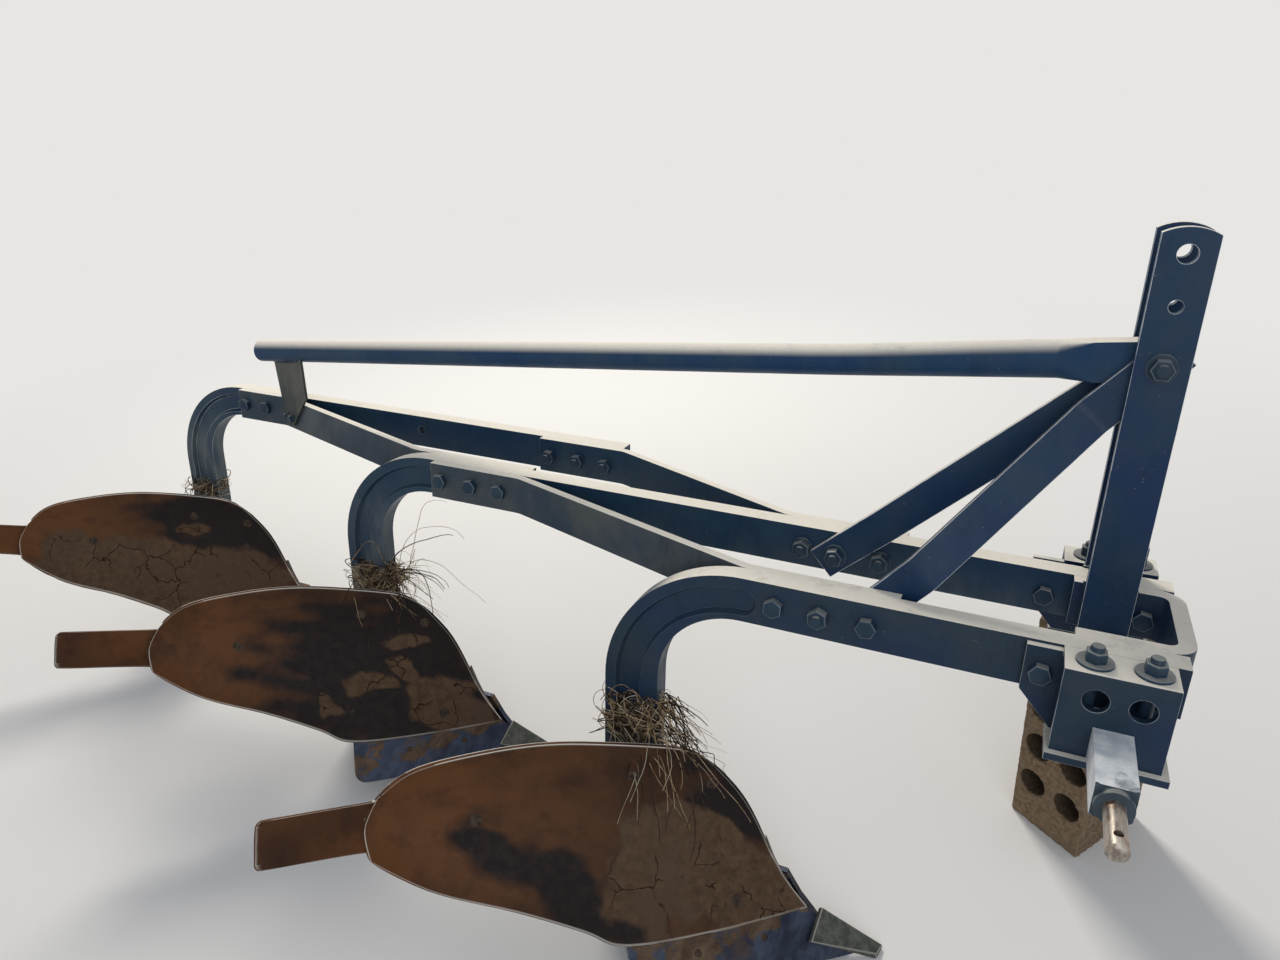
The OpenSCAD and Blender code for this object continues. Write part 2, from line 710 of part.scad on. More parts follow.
module landside(i) {
    z = tip.z + 4;
    color(steel) on_bottom(i) difference() {
        side_plate(beam_t, landside_t)
            polygon([[leg_rear - landside_heel, z], [tip.x - landside_nose[0], z],
                     [tip.x - landside_nose[1], z + landside_h * 0.55],
                     [tip.x - landside_nose[2], z + landside_h],
                     [leg_rear - landside_heel + 10, z + landside_h],
                     [leg_rear - landside_heel, z + landside_h - 12]]);
        for (x = [leg_rear + 25, leg_front + 120])
            translate([x, beam_t - 1, z + landside_h * 0.75]) rotate([-90, 0, 0])
                cylinder(d = plough_bolt_d, h = landside_t + 2, $fn = 32);
    }
}

// Frog: upright plate beside the leg and pads behind the lower moldboard and the share
module frog(i) {
    shin = [for (v = [0.55 : -0.11 : 0]) let (p = on_curve(board_shin, v)) [p.x - board_t / 2, p.z]];
    color(blue) on_bottom(i) difference() {
        union() {
            difference() {
                side_plate(-frog_t, frog_t)
                    polygon(concat([[leg_rear, frog_low], [leg_rear, frog_top]], shin,
                                   [[tip.x - frog_nose, frog_low]]));
                skin(board_grid(-60, 0, 12), board_grid(board_t + seat, 0, 12));
                skin(share_grid(-30, pull = -board_t), share_grid(share_t + seat, pull = -board_t));
            }
            skin(board_grid(board_t + seat, 0, 9, 1, 4), board_grid(board_t + frog_pad, 0, 9, 1, 4));
            skin(share_grid(share_t + seat, 0, 6, 1, 2), share_grid(share_t + frog_pad, 0, 6, 1, 2));
        }
        share_holes();
    }
}

// Rod from a foot on the leg to the back of the moldboard's rear half
module board_rod(i) {
    u = 0.78;
    v = 0.5;
    color(blue) on_bottom(i) difference() {
        union() {
            rod([rod_at.x, seat - rod_foot_t, rod_at.y], board_at(u, v), rod_d);
            translate([rod_at.x, -seat, rod_at.y]) rotate([90, 0, 0])
                cylinder(d = 2 * rod_d, h = rod_foot_t, $fn = 48);
        }
        skin(board_grid(-40, board_cols / 2), board_grid(board_t + seat, board_cols / 2));
    }
}

module support_block() {
    first = (block_h - (block_rows - 1) * block_row_gap) / 2;
    color("rosybrown") translate(block_at - origin) rotate([0, 0, block_turn]) difference() {
        cube([block_d, block_w, block_h]);
        for (row = [0 : block_rows - 1]) for (side = [0.25, 0.75])
            translate([-1, block_w * side, first + row * block_row_gap]) rotate([0, 90, 0])
                cylinder(d = block_hole_d, h = block_d + 2, $fn = 48);
    }
}

stand() beam(0);  // beam_1
stand() beam(1);  // beam_2
stand() beam(2);  // beam_3
stand() crank_plate(0);  // crank_plate_front
stand() crank_plate(1);  // crank_plate_middle
stand() crank_plate(2);  // crank_plate_rear
stand() strap();
stand() mast_plate(mast_y);  // mast_right
stand() mast_plate(mast_y + mast_t + mast_gap);  // mast_left
stand() brace(brace_feet[0], brace_tops[0]);  // brace_right
stand() brace(brace_feet[1], brace_tops[1]);  // brace_left
stand() stay_tube();
stand() stay_bracket();
stand() bracket_right();
stand() bracket_left();
stand() clamp_plate_right();
stand() clamp_plate_left();
stand() cross_shaft();
stand() frog(0);  // frog_1
stand() frog(1);  // frog_2
stand() frog(2);  // frog_3
stand() moldboard(0);  // moldboard_1
stand() moldboard(1);  // moldboard_2
stand() moldboard(2);  // moldboard_3
stand() share(0);  // share_1
stand() share(1);  // share_2
stand() share(2);  // share_3
stand() point(0);  // point_1
stand() point(1);  // point_2
stand() point(2);  // point_3
stand() tail_piece(0);  // tail_piece_1
stand() tail_piece(1);  // tail_piece_2
stand() tail_piece(2);  // tail_piece_3
stand() landside(0);  // landside_1
stand() landside(1);  // landside_2
stand() landside(2);  // landside_3
stand() board_rod(0);  // board_rod_1
stand() board_rod(1);  // board_rod_2
stand() board_rod(2);  // board_rod_3
support_block();
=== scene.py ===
import json
import math
import random

import bmesh
import bpy
from mathutils import Matrix, Vector, noise
from mathutils.bvhtree import BVHTree


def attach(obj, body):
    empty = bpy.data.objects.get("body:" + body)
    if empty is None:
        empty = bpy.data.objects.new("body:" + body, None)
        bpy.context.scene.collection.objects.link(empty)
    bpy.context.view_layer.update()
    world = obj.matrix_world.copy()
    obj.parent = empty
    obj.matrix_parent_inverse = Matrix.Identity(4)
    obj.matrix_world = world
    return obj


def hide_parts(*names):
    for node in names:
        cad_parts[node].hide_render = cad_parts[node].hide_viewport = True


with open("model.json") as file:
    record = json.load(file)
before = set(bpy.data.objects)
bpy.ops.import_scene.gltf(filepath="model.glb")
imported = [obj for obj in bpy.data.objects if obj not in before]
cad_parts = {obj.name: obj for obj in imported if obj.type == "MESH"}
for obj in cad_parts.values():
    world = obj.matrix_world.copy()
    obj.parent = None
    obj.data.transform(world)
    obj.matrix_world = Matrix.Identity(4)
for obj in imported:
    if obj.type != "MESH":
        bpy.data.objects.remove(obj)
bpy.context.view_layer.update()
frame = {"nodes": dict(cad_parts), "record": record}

# Camera
# The photograph was taken standing ahead of the front bottom, on the ploughed side, looking
# back and down over the whole plough with a short lens.
camera_place = (1.1791, -1.1927, 1.5855)
camera_turn = (62.408, 4.663, 23.310)
camera_lens = 25.6626
camera_data = bpy.data.cameras.new("camera")
camera_data.lens = camera_lens
camera_data.sensor_width = 36.0
camera_data.clip_start = 0.01
camera = bpy.data.objects.new("camera", camera_data)
camera.location = camera_place
camera.rotation_euler = [math.radians(a) for a in camera_turn]
bpy.context.collection.objects.link(camera)
bpy.context.scene.camera = camera

# Floor, backdrop and lamps
# A plain pale floor that runs into an even pale background, one large soft lamp behind the
# plough and a weaker one beside the camera.
pale = (0.8, 0.79, 0.77, 1.0)
sky_colour = (0.9, 0.93, 1.0, 1.0)
sky_strength = 0.42
floor_half = 40.0
# The floor turns into the even background between these distances from the middle
floor_fade = (1.6, 4.5)


def camera_ray(tree):
    path = tree.nodes.new("ShaderNodeLightPath")
    total = path.outputs["Is Camera Ray"]
    for other in ("Is Glossy Ray", "Is Transmission Ray"):
        add = tree.nodes.new("ShaderNodeMath")
        add.operation = "MAXIMUM"
        tree.links.new(total, add.inputs[0])
        tree.links.new(path.outputs[other], add.inputs[1])
        total = add.outputs["Value"]
    return total


floor_finish = bpy.data.materials.new("floor_finish")
floor_finish.use_nodes = True
floor_tree = floor_finish.node_tree
floor_shader = floor_tree.nodes["Principled BSDF"]
floor_shader.inputs["Base Color"].default_value = pale
floor_shader.inputs["Roughness"].default_value = 0.9
floor_place = floor_tree.nodes.new("ShaderNodeTexCoord").outputs["Object"]
far = floor_tree.nodes.new("ShaderNodeVectorMath")
far.operation = "LENGTH"
floor_tree.links.new(floor_place, far.inputs[0])
fade = floor_tree.nodes.new("ShaderNodeMapRange")
fade.interpolation_type = "SMOOTHSTEP"
fade.inputs["From Min"].default_value = floor_fade[0]
fade.inputs["From Max"].default_value = floor_fade[1]
floor_tree.links.new(far.outputs["Value"], fade.inputs["Value"])
seen_far = floor_tree.nodes.new("ShaderNodeMath")
seen_far.operation = "MULTIPLY"
floor_tree.links.new(fade.outputs["Result"], seen_far.inputs[0])
floor_tree.links.new(camera_ray(floor_tree), seen_far.inputs[1])
backdrop_light = floor_tree.nodes.new("ShaderNodeEmission")
backdrop_light.inputs["Color"].default_value = pale
floor_mix = floor_tree.nodes.new("ShaderNodeMixShader")
floor_tree.links.new(seen_far.outputs["Value"], floor_mix.inputs["Fac"])
floor_tree.links.new(floor_shader.outputs["BSDF"], floor_mix.inputs[1])
floor_tree.links.new(backdrop_light.outputs["Emission"], floor_mix.inputs[2])
floor_tree.links.new(floor_mix.outputs["Shader"], floor_tree.nodes["Material Output"].inputs["Surface"])

floor_shape = bmesh.new()
bmesh.ops.create_grid(floor_shape, x_segments=1, y_segments=1, size=floor_half)
floor_mesh = bpy.data.meshes.new("floor")
floor_shape.to_mesh(floor_mesh)
floor_shape.free()
floor_mesh.materials.append(floor_finish)
floor = bpy.data.objects.new("floor", floor_mesh)
bpy.context.collection.objects.link(floor)

world = bpy.data.worlds.new("sky")
world.use_nodes = True
sky_tree = world.node_tree
sky = sky_tree.nodes["Background"]
sky.inputs["Color"].default_value = sky_colour
sky.inputs["Strength"].default_value = sky_strength
seen_sky = sky_tree.nodes.new("ShaderNodeBackground")
seen_sky.inputs["Color"].default_value = pale
sky_mix = sky_tree.nodes.new("ShaderNodeMixShader")
sky_tree.links.new(camera_ray(sky_tree), sky_mix.inputs["Fac"])
sky_tree.links.new(sky.outputs["Background"], sky_mix.inputs[1])
sky_tree.links.new(seen_sky.outputs["Background"], sky_mix.inputs[2])
sky_tree.links.new(sky_mix.outputs["Shader"], sky_tree.nodes["World Output"].inputs["Surface"])
bpy.context.scene.world = world


def soft_lamp(name, place, aim, size, power, colour):
    data = bpy.data.lights.new(name, "AREA")
    data.size = size
    data.energy = power
    data.color = colour
    lamp = bpy.data.objects.new(name, data)
    lamp.location = place
    lamp.rotation_euler = (Vector(aim) - Vector(place)).to_track_quat("-Z", "Y").to_euler()
    bpy.context.collection.objects.link(lamp)


soft_lamp("sun_side", (-1.6, 4.2, 4.4), (0.0, 0.0, 0.4), 1.5, 240.0, (1.0, 0.95, 0.86))
soft_lamp("front_side", (2.5, -4.0, 3.2), (0.0, 0.0, 0.5), 3.0, 55.0, (0.9, 0.95, 1.0))
bpy.context.scene.view_settings.view_transform = "Standard"

# Goose-neck beams
# Three flat steel bars, each forged in one with its curved leg, with a long hollow pressed into
# both sides of the neck. Brushed over with dark blue paint that has worn along the edges; the pale edges
# are also painted highlights, and up-facing tops are painted pale as dust and sunlight.
bar_round = 0.0028
# A face with a roof of its own piece within this height gathers no dust and gets no painted sunlight, so
# it stays in painted shade
roof_reach = 0.25
# Middle of the cross shaft in the plough's own frame, metres: forward, to its left and up from
# the front beam. The stance leans that frame into place.
shaft_middle = Vector((0.687, 0.147, -0.030))
mounts = {m["name"]: m for m in frame["record"]["mounts"]}
pin_right = Vector(mounts["link_pin_right"]["pos_m"])
pin_left = Vector(mounts["link_pin_left"]["pos_m"])
leftward = (pin_left - pin_right).normalized()
upward = Vector(mounts["linchpin_hole_right"]["axis"])
forward = leftward.cross(upward)
lean = Matrix((forward, leftward, upward)).transposed().to_4x4()
stance = Matrix.Translation((pin_right + pin_left) / 2) @ lean @ Matrix.Translation(-shaft_middle)
unstance = stance.inverted()


def start_finish(name):
    finish = bpy.data.materials.new(name)
    finish.use_nodes = True
    tree = finish.node_tree
    shader = tree.nodes["Principled BSDF"]
    shader.inputs["Specular IOR Level"].default_value = 0.22
    return finish, tree, shader, tree.nodes.new("ShaderNodeTexCoord").outputs["Object"]


def grain(tree, place, scale, detail=4.0, rough=0.6, stretch=(1.0, 1.0, 1.0), offset=0.0):
    mapping = tree.nodes.new("ShaderNodeMapping")
    mapping.inputs["Scale"].default_value = stretch
    mapping.inputs["Location"].default_value = (offset, offset, offset)
    tree.links.new(place, mapping.inputs["Vector"])
    pattern = tree.nodes.new("ShaderNodeTexNoise")
    pattern.inputs["Scale"].default_value = scale
    pattern.inputs["Detail"].default_value = detail
    pattern.inputs["Roughness"].default_value = rough
    tree.links.new(mapping.outputs["Vector"], pattern.inputs["Vector"])
    return pattern.outputs["Fac"]


def spread(tree, value, low, high, start=0.0, end=1.0):
    node = tree.nodes.new("ShaderNodeMapRange")
    node.interpolation_type = "SMOOTHSTEP"
    for key, number in (("From Min", low), ("From Max", high), ("To Min", start), ("To Max", end)):
        node.inputs[key].default_value = number
    tree.links.new(value, node.inputs["Value"])
    return node.outputs["Result"]


def combine(tree, how, a, b):
    node = tree.nodes.new("ShaderNodeMath")
    node.operation = how
    node.use_clamp = True
    for socket, value in zip(node.inputs, (a, b)):
        if isinstance(value, float):
            socket.default_value = value
        else:
            tree.links.new(value, socket)
    return node.outputs["Value"]


def tint(tree, share, under, over):
    node = tree.nodes.new("ShaderNodeMix")
    node.data_type = "RGBA"
    if isinstance(share, float):
        node.inputs["Factor"].default_value = share
    else:
        tree.links.new(share, node.inputs["Factor"])
    for key, colour in (("A", under), ("B", over)):
        socket = [s for s in node.inputs if s.name == key and s.type == "RGBA"][0]
        if isinstance(colour, tuple):
            socket.default_value = (*colour, 1.0)
        else:
            tree.links.new(colour, socket)
    return [s for s in node.outputs if s.type == "RGBA"][0]


def painted_on(tree, name):
    node = tree.nodes.new("ShaderNodeAttribute")
    node.attribute_name = name
    return node.outputs["Fac"]


def facing_up(tree, low, high):
    geometry = tree.nodes.new("ShaderNodeNewGeometry")
    split = tree.nodes.new("ShaderNodeSeparateXYZ")
    tree.links.new(geometry.outputs["Normal"], split.inputs["Vector"])
    return spread(tree, split.outputs["Z"], low, high)


def relief(tree, shader, height, strength, distance):
    bump = tree.nodes.new("ShaderNodeBump")
    bump.inputs["Strength"].default_value = strength
    bump.inputs["Distance"].default_value = distance
    tree.links.new(height, bump.inputs["Height"])
    before = shader.inputs["Normal"].links
    if before:
        tree.links.new(before[0].from_socket, bump.inputs["Normal"])
    tree.links.new(bump.outputs["Normal"], shader.inputs["Normal"])


def blue_finish(name, deep, slate, dust_and_sunlight_share, worn_and_lit_edge_colour,
                sunlit_dust_from=0.72, sunlit_dust_over=0.2, low_film=0.0):
    finish, tree, shader, place = start_finish(name)
    cloud = grain(tree, place, 5.0, 5.0)
    brush = grain(tree, place, 16.0, 6.0, 0.7, (1.0, 1.0, 0.25), 3.0)
    colour = tint(tree, spread(tree, cloud, 0.38, 0.66), deep, slate)
    darker = tuple(c * 0.62 for c in deep)
    colour = tint(tree, spread(tree, brush, 0.5, 0.78, 0.0, 0.7), colour, darker)
    film = spread(tree, grain(tree, place, 9.0, 6.0, 0.65, offset=7.0), 0.42, 0.75)
    colour = tint(tree, combine(tree, "MULTIPLY", film, 0.27), colour, (0.055, 0.072, 0.08))
    if low_film:
        split = tree.nodes.new("ShaderNodeSeparateXYZ")
        tree.links.new(place, split.inputs["Vector"])
        below = spread(tree, split.outputs["Z"], 0.52, 0.67, 1.0, 0.0)
        below = combine(tree, "MULTIPLY", below, low_film)
        streaks = grain(tree, place, 24.0, 5.0, 0.65, (1.0, 1.0, 0.2), 8.0)
        streaks = spread(tree, streaks, 0.36, 0.62, 0.25, 1.0)
        colour = tint(tree, combine(tree, "MULTIPLY", below, streaks), colour, (0.13, 0.15, 0.15))
    speck = spread(tree, grain(tree, place, 120.0, 3.0, 0.6, offset=1.0), 0.68, 0.75, 0.0, 0.5)
    colour = tint(tree, speck, colour, (0.16, 0.16, 0.15))
    # Bevelled edges lightened: rubbed-through wear, and a painted highlight where the sun catches the
    # edge
    wear = combine(tree, "MULTIPLY", painted_on(tree, "worn"),
                   spread(tree, grain(tree, place, 30.0, 5.0, offset=5.0), 0.34, 0.52, 0.35, 1.0))
    colour = tint(tree, wear, colour, worn_and_lit_edge_colour)
    # Up-facing tops turn pale: settled dust together with painted sunlight on the tops
    patch = spread(tree, grain(tree, place, 13.0, 7.0, 0.72, offset=11.0), 0.27, 0.45, 0.72, 1.0)
    sunlit_upper_side = facing_up(tree, sunlit_dust_from, sunlit_dust_from + sunlit_dust_over)
    open_sunlit_top = combine(tree, "SUBTRACT", sunlit_upper_side, painted_on(tree, "sheltered_and_shaded"))
    dust_and_sunlight = combine(tree, "MULTIPLY", open_sunlit_top, patch)
    dust_and_sunlight = combine(tree, "MULTIPLY", dust_and_sunlight, dust_and_sunlight_share)
    fine = grain(tree, place, 60.0, 5.0, 0.7)
    dust_and_sunlit_colour = tint(tree, fine, (0.74, 0.69, 0.59), (0.88, 0.84, 0.75))
    colour = tint(tree, dust_and_sunlight, colour, dust_and_sunlit_colour)
    tree.links.new(colour, shader.inputs["Base Color"])
    dull = spread(tree, brush, 0.3, 0.7, 0.34, 0.5)
    dull = combine(tree, "ADD", dull, combine(tree, "MULTIPLY", dust_and_sunlight, 0.35))
    tree.links.new(dull, shader.inputs["Roughness"])
    relief(tree, shader, grain(tree, place, 22.0, 3.0), 0.35, 0.0015)
    relief(tree, shader, grain(tree, place, 170.0, 4.0, 0.65), 0.3, 0.0006)
    return finish


def place_mesh(shape, name, finishes, smooth_to=48.0):
    mesh = bpy.data.meshes.new(name)
    shape.to_mesh(mesh)
    shape.free()
    for finish in finishes:
        mesh.materials.append(finish)
    mesh.shade_smooth()
    mesh.set_sharp_from_angle(angle=math.radians(smooth_to))
    piece = bpy.data.objects.new(name, mesh)
    bpy.context.collection.objects.link(piece)
    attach(piece, "root")
    return piece


def merged(node):
    shape = bmesh.new()
    shape.from_mesh(frame["nodes"][node].data)
    bmesh.ops.remove_doubles(shape, verts=shape.verts, dist=0.00002)
    return shape


def softened(node, radius, finishes, sharp_from=33.0, reshape=None):
    shape = merged(node)
    bmesh.ops.dissolve_limit(shape, angle_limit=math.radians(0.6), verts=shape.verts, edges=shape.edges)
    if reshape:
        reshape(shape)
    worn = shape.faces.layers.float.new("worn")
    sheltered_and_shaded = shape.faces.layers.float.new("sheltered_and_shaded")
    edges = [e for e in shape.edges
             if len(e.link_faces) == 2 and e.calc_face_angle() > math.radians(sharp_from)]
    made = bmesh.ops.bevel(shape, geom=edges, offset=radius, offset_type="OFFSET", segments=2,
                           profile=0.5, affect="EDGES", material=-1, clamp_overlap=True)
    for face in made["faces"]:
        face[worn] = 1.0
    shape.normal_update()
    # Faces with their own piece above them are marked for painted shade and no dust
    own_faces = BVHTree.FromBMesh(shape)
    for face in shape.faces:
        start = face.calc_center_median() + upward * 0.0005
        if face.normal.z > 0.3 and own_faces.ray_cast(start, upward, roof_reach)[0]:
            face[sheltered_and_shaded] = 1.0
    piece = place_mesh(shape, node + "_finished", finishes)
    normals = piece.modifiers.new("even_normals", "WEIGHTED_NORMAL")
    normals.keep_sharp = True
    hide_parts(node)
    return piece


blue_paint = blue_finish("blue_paint", (0.013, 0.032, 0.078), (0.022, 0.043, 0.064), 1.0,
                         (0.42, 0.45, 0.46))
dusty_paint = blue_finish("dusty_paint", (0.009, 0.036, 0.08), (0.02, 0.052, 0.088), 1.0,
                          (0.44, 0.47, 0.47), low_film=0.75)
for number, finish in ((1, blue_paint), (2, dusty_paint), (3, dusty_paint)):
    softened("beam_%d" % number, bar_round, [finish])

# Crank plates
# Flat bars with two bends each, bolted between neighbouring beams to keep the furrows apart.
# Painted with the beams, but two are greyer, where the paint went on thin.
plate_round = 0.0018
thin_paint = blue_finish("thin_paint", (0.03, 0.052, 0.078), (0.09, 0.1, 0.1), 0.97, (0.5, 0.53, 0.54))
for name, finish in (("front", thin_paint), ("middle", thin_paint), ("rear", dusty_paint)):
    softened("crank_plate_" + name, plate_round, [finish])

# Strap, mast and braces
# A bar bent to a U ties the front ends of two beams, the two mast plates stand on it for the
# top link, and two flat joggled braces run from a bolt in the mast back to the beams.
# Near-white edges paint sunlit highlights on the plate edges along with their wear; dust and painted
# sunlight reach steeper tops
mast_paint = blue_finish("mast_paint", (0.0095, 0.034, 0.094), (0.015, 0.043, 0.085), 1.0,
                         (0.72, 0.76, 0.78), sunlit_dust_from=0.63)
softened("strap", bar_round, [blue_paint])
for node in ("mast_right", "mast_left", "brace_right", "brace_left"):
    softened(node, plate_round, [mast_paint])

# Long stay and its bracket
# A steel tube from the rear beam up to the mast bolt, its front end hammered flat between the
# braces, welded at the rear to a plate bolted on the middle crank plate.
# Pale from the top of the tube down its side in a wide gradient: a painted sheen of sunlight with dust,
# and painted highlights on its edges
stay_paint = blue_finish("stay_paint", (0.006, 0.042, 0.115), (0.02, 0.06, 0.11), 1.0,
                         (0.6, 0.64, 0.66), sunlit_dust_from=0.4, sunlit_dust_over=0.46)
thin_round = 0.0012
# The tube's axis in the plough's own frame, millimetres: its rear end and its run for each one ahead
stay_end = Vector((-1371.0, 480.9, 210.0))
stay_run = Vector((1.0, -0.107, 0.1185))
tube_radius = 24.2
# Share by which the tube is thicker, and how far it sits lower, up to where the swell starts
tube_growth = 0.18
tube_drop = 4.5
swell_from = 120.0
swell_to = 600.0
swell_growth = 0.32
swell_lift = 3.0
swell_steps = 24


def stay_axis(x):
    return stay_end + stay_run * (x - stay_end.x)


def swell(shape):
    turn = lean.to_3x3() @ Vector((1, 0, 0))
    for k in range(swell_steps + 1):
        everything = shape.verts[:] + shape.edges[:] + shape.faces[:]
        at = stance @ (stay_axis(swell_from + (swell_to - swell_from) * k / swell_steps) / 1000)
        bmesh.ops.bisect_plane(shape, geom=everything, dist=0.0001, plane_co=at, plane_no=turn)
    for vert in shape.verts:
        local = unstance @ vert.co * 1000
        share = min(max((local.x - swell_from) / (swell_to - swell_from), 0.0), 1.0)
        share = share * share * (3.0 - 2.0 * share)
        off = local - stay_axis(local.x)
        local.y += off.y * tube_growth * (1 - share)
        local.z += (off.z * swell_growth + swell_lift) * share
        local.z += (off.z * tube_growth - tube_drop) * (1 - share)
        vert.co = stance @ (local / 1000)


softened("stay_tube", thin_round, [stay_paint], reshape=swell)
# The crank plate's slanting flank that the bracket stands on, from above
flank_start = Vector((-1327.0, 499.0))
flank_turn = math.radians(-18.8227)
flank_along = Vector((math.cos(flank_turn), math.sin(flank_turn)))
flank_left = Vector((-flank_along.y, flank_along.x))
# Faces of the bracket and of the crank plate's back, measured from the flank's middle
bracket_face = -17.3
flank_back = 9.0
bracket_paint = blue_finish("bracket_paint", (0.026, 0.036, 0.034), (0.085, 0.085, 0.07), 0.9,
                            (0.4, 0.4, 0.37))
# The bracket's front edge moves ahead by this much at its shoulder and at its top, and up there
front_from = 98.0
crank_top = 90.0
shoulder_ahead = 30.0
top_ahead = 24.0
top_up = 7.5
shoulder_high = 110.0
top_high = 180.0


def widen(shape):
    for vert in shape.verts:
        local = unstance @ vert.co * 1000
        reach = (local.xy - flank_start).dot(flank_along)
        if reach > front_from and local.z > crank_top:
            share = min(max((local.z - shoulder_high) / (top_high - shoulder_high), 0.0), 1.0)
            ahead = shoulder_ahead + (top_ahead - shoulder_ahead) * share
            local += Vector((*(flank_along * ahead), top_up * share))
            vert.co = stance @ (local / 1000)


softened("stay_bracket", thin_round, [bracket_paint], reshape=widen)

# Side brackets and clamp plates
# Welded boxes of plate bolted outside the front beams; two long bolts draw a clamp plate up
# under each and so grip the square cross shaft.
bracket_round = 0.0014
for side in ("right", "left"):
    for node in ("bracket_", "clamp_plate_"):
        softened(node + side, bracket_round, [blue_paint])

# Cross shaft
# A square steel bar with turned link pins at both ends. Pale paint worn through on the bar,
# blue overspray on its ends, the pins bare and scored in use.
shaft_half = 0.341
collar_end = 0.351
shaft_paint, tree, shader, place = start_finish("shaft_paint")
chalk = grain(tree, place, 22.0, 7.0, 0.7)
colour = tint(tree, spread(tree, chalk, 0.35, 0.62), (0.52, 0.57, 0.62), (0.8, 0.82, 0.83))
blotch = spread(tree, grain(tree, place, 14.0, 5.0, 0.6, offset=2.0), 0.56, 0.66, 0.0, 0.8)
colour = tint(tree, blotch, colour, (0.13, 0.17, 0.2))
wear = combine(tree, "MULTIPLY", painted_on(tree, "worn"), 0.6)
colour = tint(tree, wear, colour, (0.6, 0.6, 0.58))
tree.links.new(colour, shader.inputs["Base Color"])
tree.links.new(spread(tree, chalk, 0.3, 0.7, 0.4, 0.65), shader.inputs["Roughness"])
relief(tree, shader, grain(tree, place, 150.0, 4.0), 0.3, 0.0006)

shaft_end_paint = blue_finish("shaft_end_paint", (0.032, 0.048, 0.066), (0.06, 0.085, 0.105), 0.2,
                              (0.45, 0.5, 0.54))

bare_pin, tree, shader, place = start_finish("bare_pin")
score = grain(tree, place, 60.0, 5.0, 0.7, (1.0, 0.15, 1.0))
colour = tint(tree, spread(tree, score, 0.35, 0.65), (0.24, 0.2, 0.17), (0.54, 0.49, 0.43))
stain = spread(tree, grain(tree, place, 35.0, 5.0, offset=4.0), 0.46, 0.62, 0.0, 0.85)
colour = tint(tree, stain, colour, (0.24, 0.13, 0.07))
tree.links.new(colour, shader.inputs["Base Color"])
shader.inputs["Metallic"].default_value = 0.75
tree.links.new(spread(tree, score, 0.3, 0.7, 0.25, 0.5), shader.inputs["Roughness"])
relief(tree, shader, score, 0.4, 0.0005)

shaft = softened("cross_shaft", thin_round, [shaft_paint, shaft_end_paint, bare_pin])
for face in shaft.data.polygons:
    out = abs((unstance @ face.center).y - shaft_middle.y)
    face.material_index = 0 if out < shaft_half - 0.003 else 1 if out < collar_end + 0.001 else 2

# Frame bolts
# Hexagon bolts of 20 mm through beams and plates, with nuts or heads on the camera's side, some
# over washers, all painted with the frame; the clamp bolts stand upright through the brackets.
bolt_across = 0.030
head_high = 0.0125
nut_high = 0.016
bolt_r = 0.010
thread_pitch = 0.0025
thread_deep = 0.0011
thread_end = 0.007
washer_high = 0.003
ring_r = 0.019
ring_high = 0.0157


def turned_to(axis):
    return Vector((0, 0, 1)).rotation_difference(Vector(axis)).to_matrix().to_4x4()


def to_place(x, y, z, axis):
    return stance @ Matrix.Translation((x / 1000, y / 1000, z / 1000)) @ turned_to(axis)


def add_disc(shape, radius, high, place, segments=28, chamfer=0.0006):
    worn = shape.faces.layers.float.get("worn") or shape.faces.layers.float.new("worn")
    cone = bmesh.ops.create_cone(shape, cap_ends=True, segments=segments, radius1=radius, radius2=radius,
                                 depth=high, matrix=place @ Matrix.Translation((0, 0, high / 2)))
    back = place.inverted()
    top = [v for v in cone["verts"] if (back @ v.co).z > high * 0.9]
    cap = [f for f in top[0].link_faces if all(v in top for v in f.verts)][0]
    made = bmesh.ops.bevel(shape, geom=cap.edges[:], offset=chamfer, offset_type="OFFSET", segments=2,
                           profile=0.5, affect="EDGES", material=-1)
    for face in made["faces"]:
        face[worn] = 1.0


def add_thread(shape, long, place):
    for k in range(int(long / thread_pitch)):
        at = place @ Matrix.Translation((0, 0, thread_pitch * (k + 0.5)))
        bmesh.ops.create_cone(shape, cap_ends=True, segments=18, radius1=bolt_r, depth=thread_pitch,
                              radius2=bolt_r - thread_deep, matrix=at)


def add_bolt(shape, x, z, y_right, y_left, nut_right=False, washer_right=0.0):
    right = to_place(x, y_right, z, (0, -1, 0))
    left = to_place(x, y_left, z, (0, 1, 0))
    if washer_right:
        add_disc(shape, washer_right, washer_high, right)
        right = right @ Matrix.Translation((0, 0, washer_high))
    spin = Matrix.Rotation(x * 0.7, 4, "Z")
    head, nut = (left, right) if nut_right else (right, left)
    add_disc(shape, bolt_across / math.sqrt(3), head_high, head @ spin, 6, 0.0016)
    add_disc(shape, bolt_across / math.sqrt(3), nut_high, nut @ spin, 6, 0.0014)
    add_thread(shape, nut_high + thread_end, nut)


bolt_paint = blue_finish("bolt_paint", (0.012, 0.032, 0.06), (0.026, 0.055, 0.085), 0.25,
                         (0.13, 0.165, 0.2))
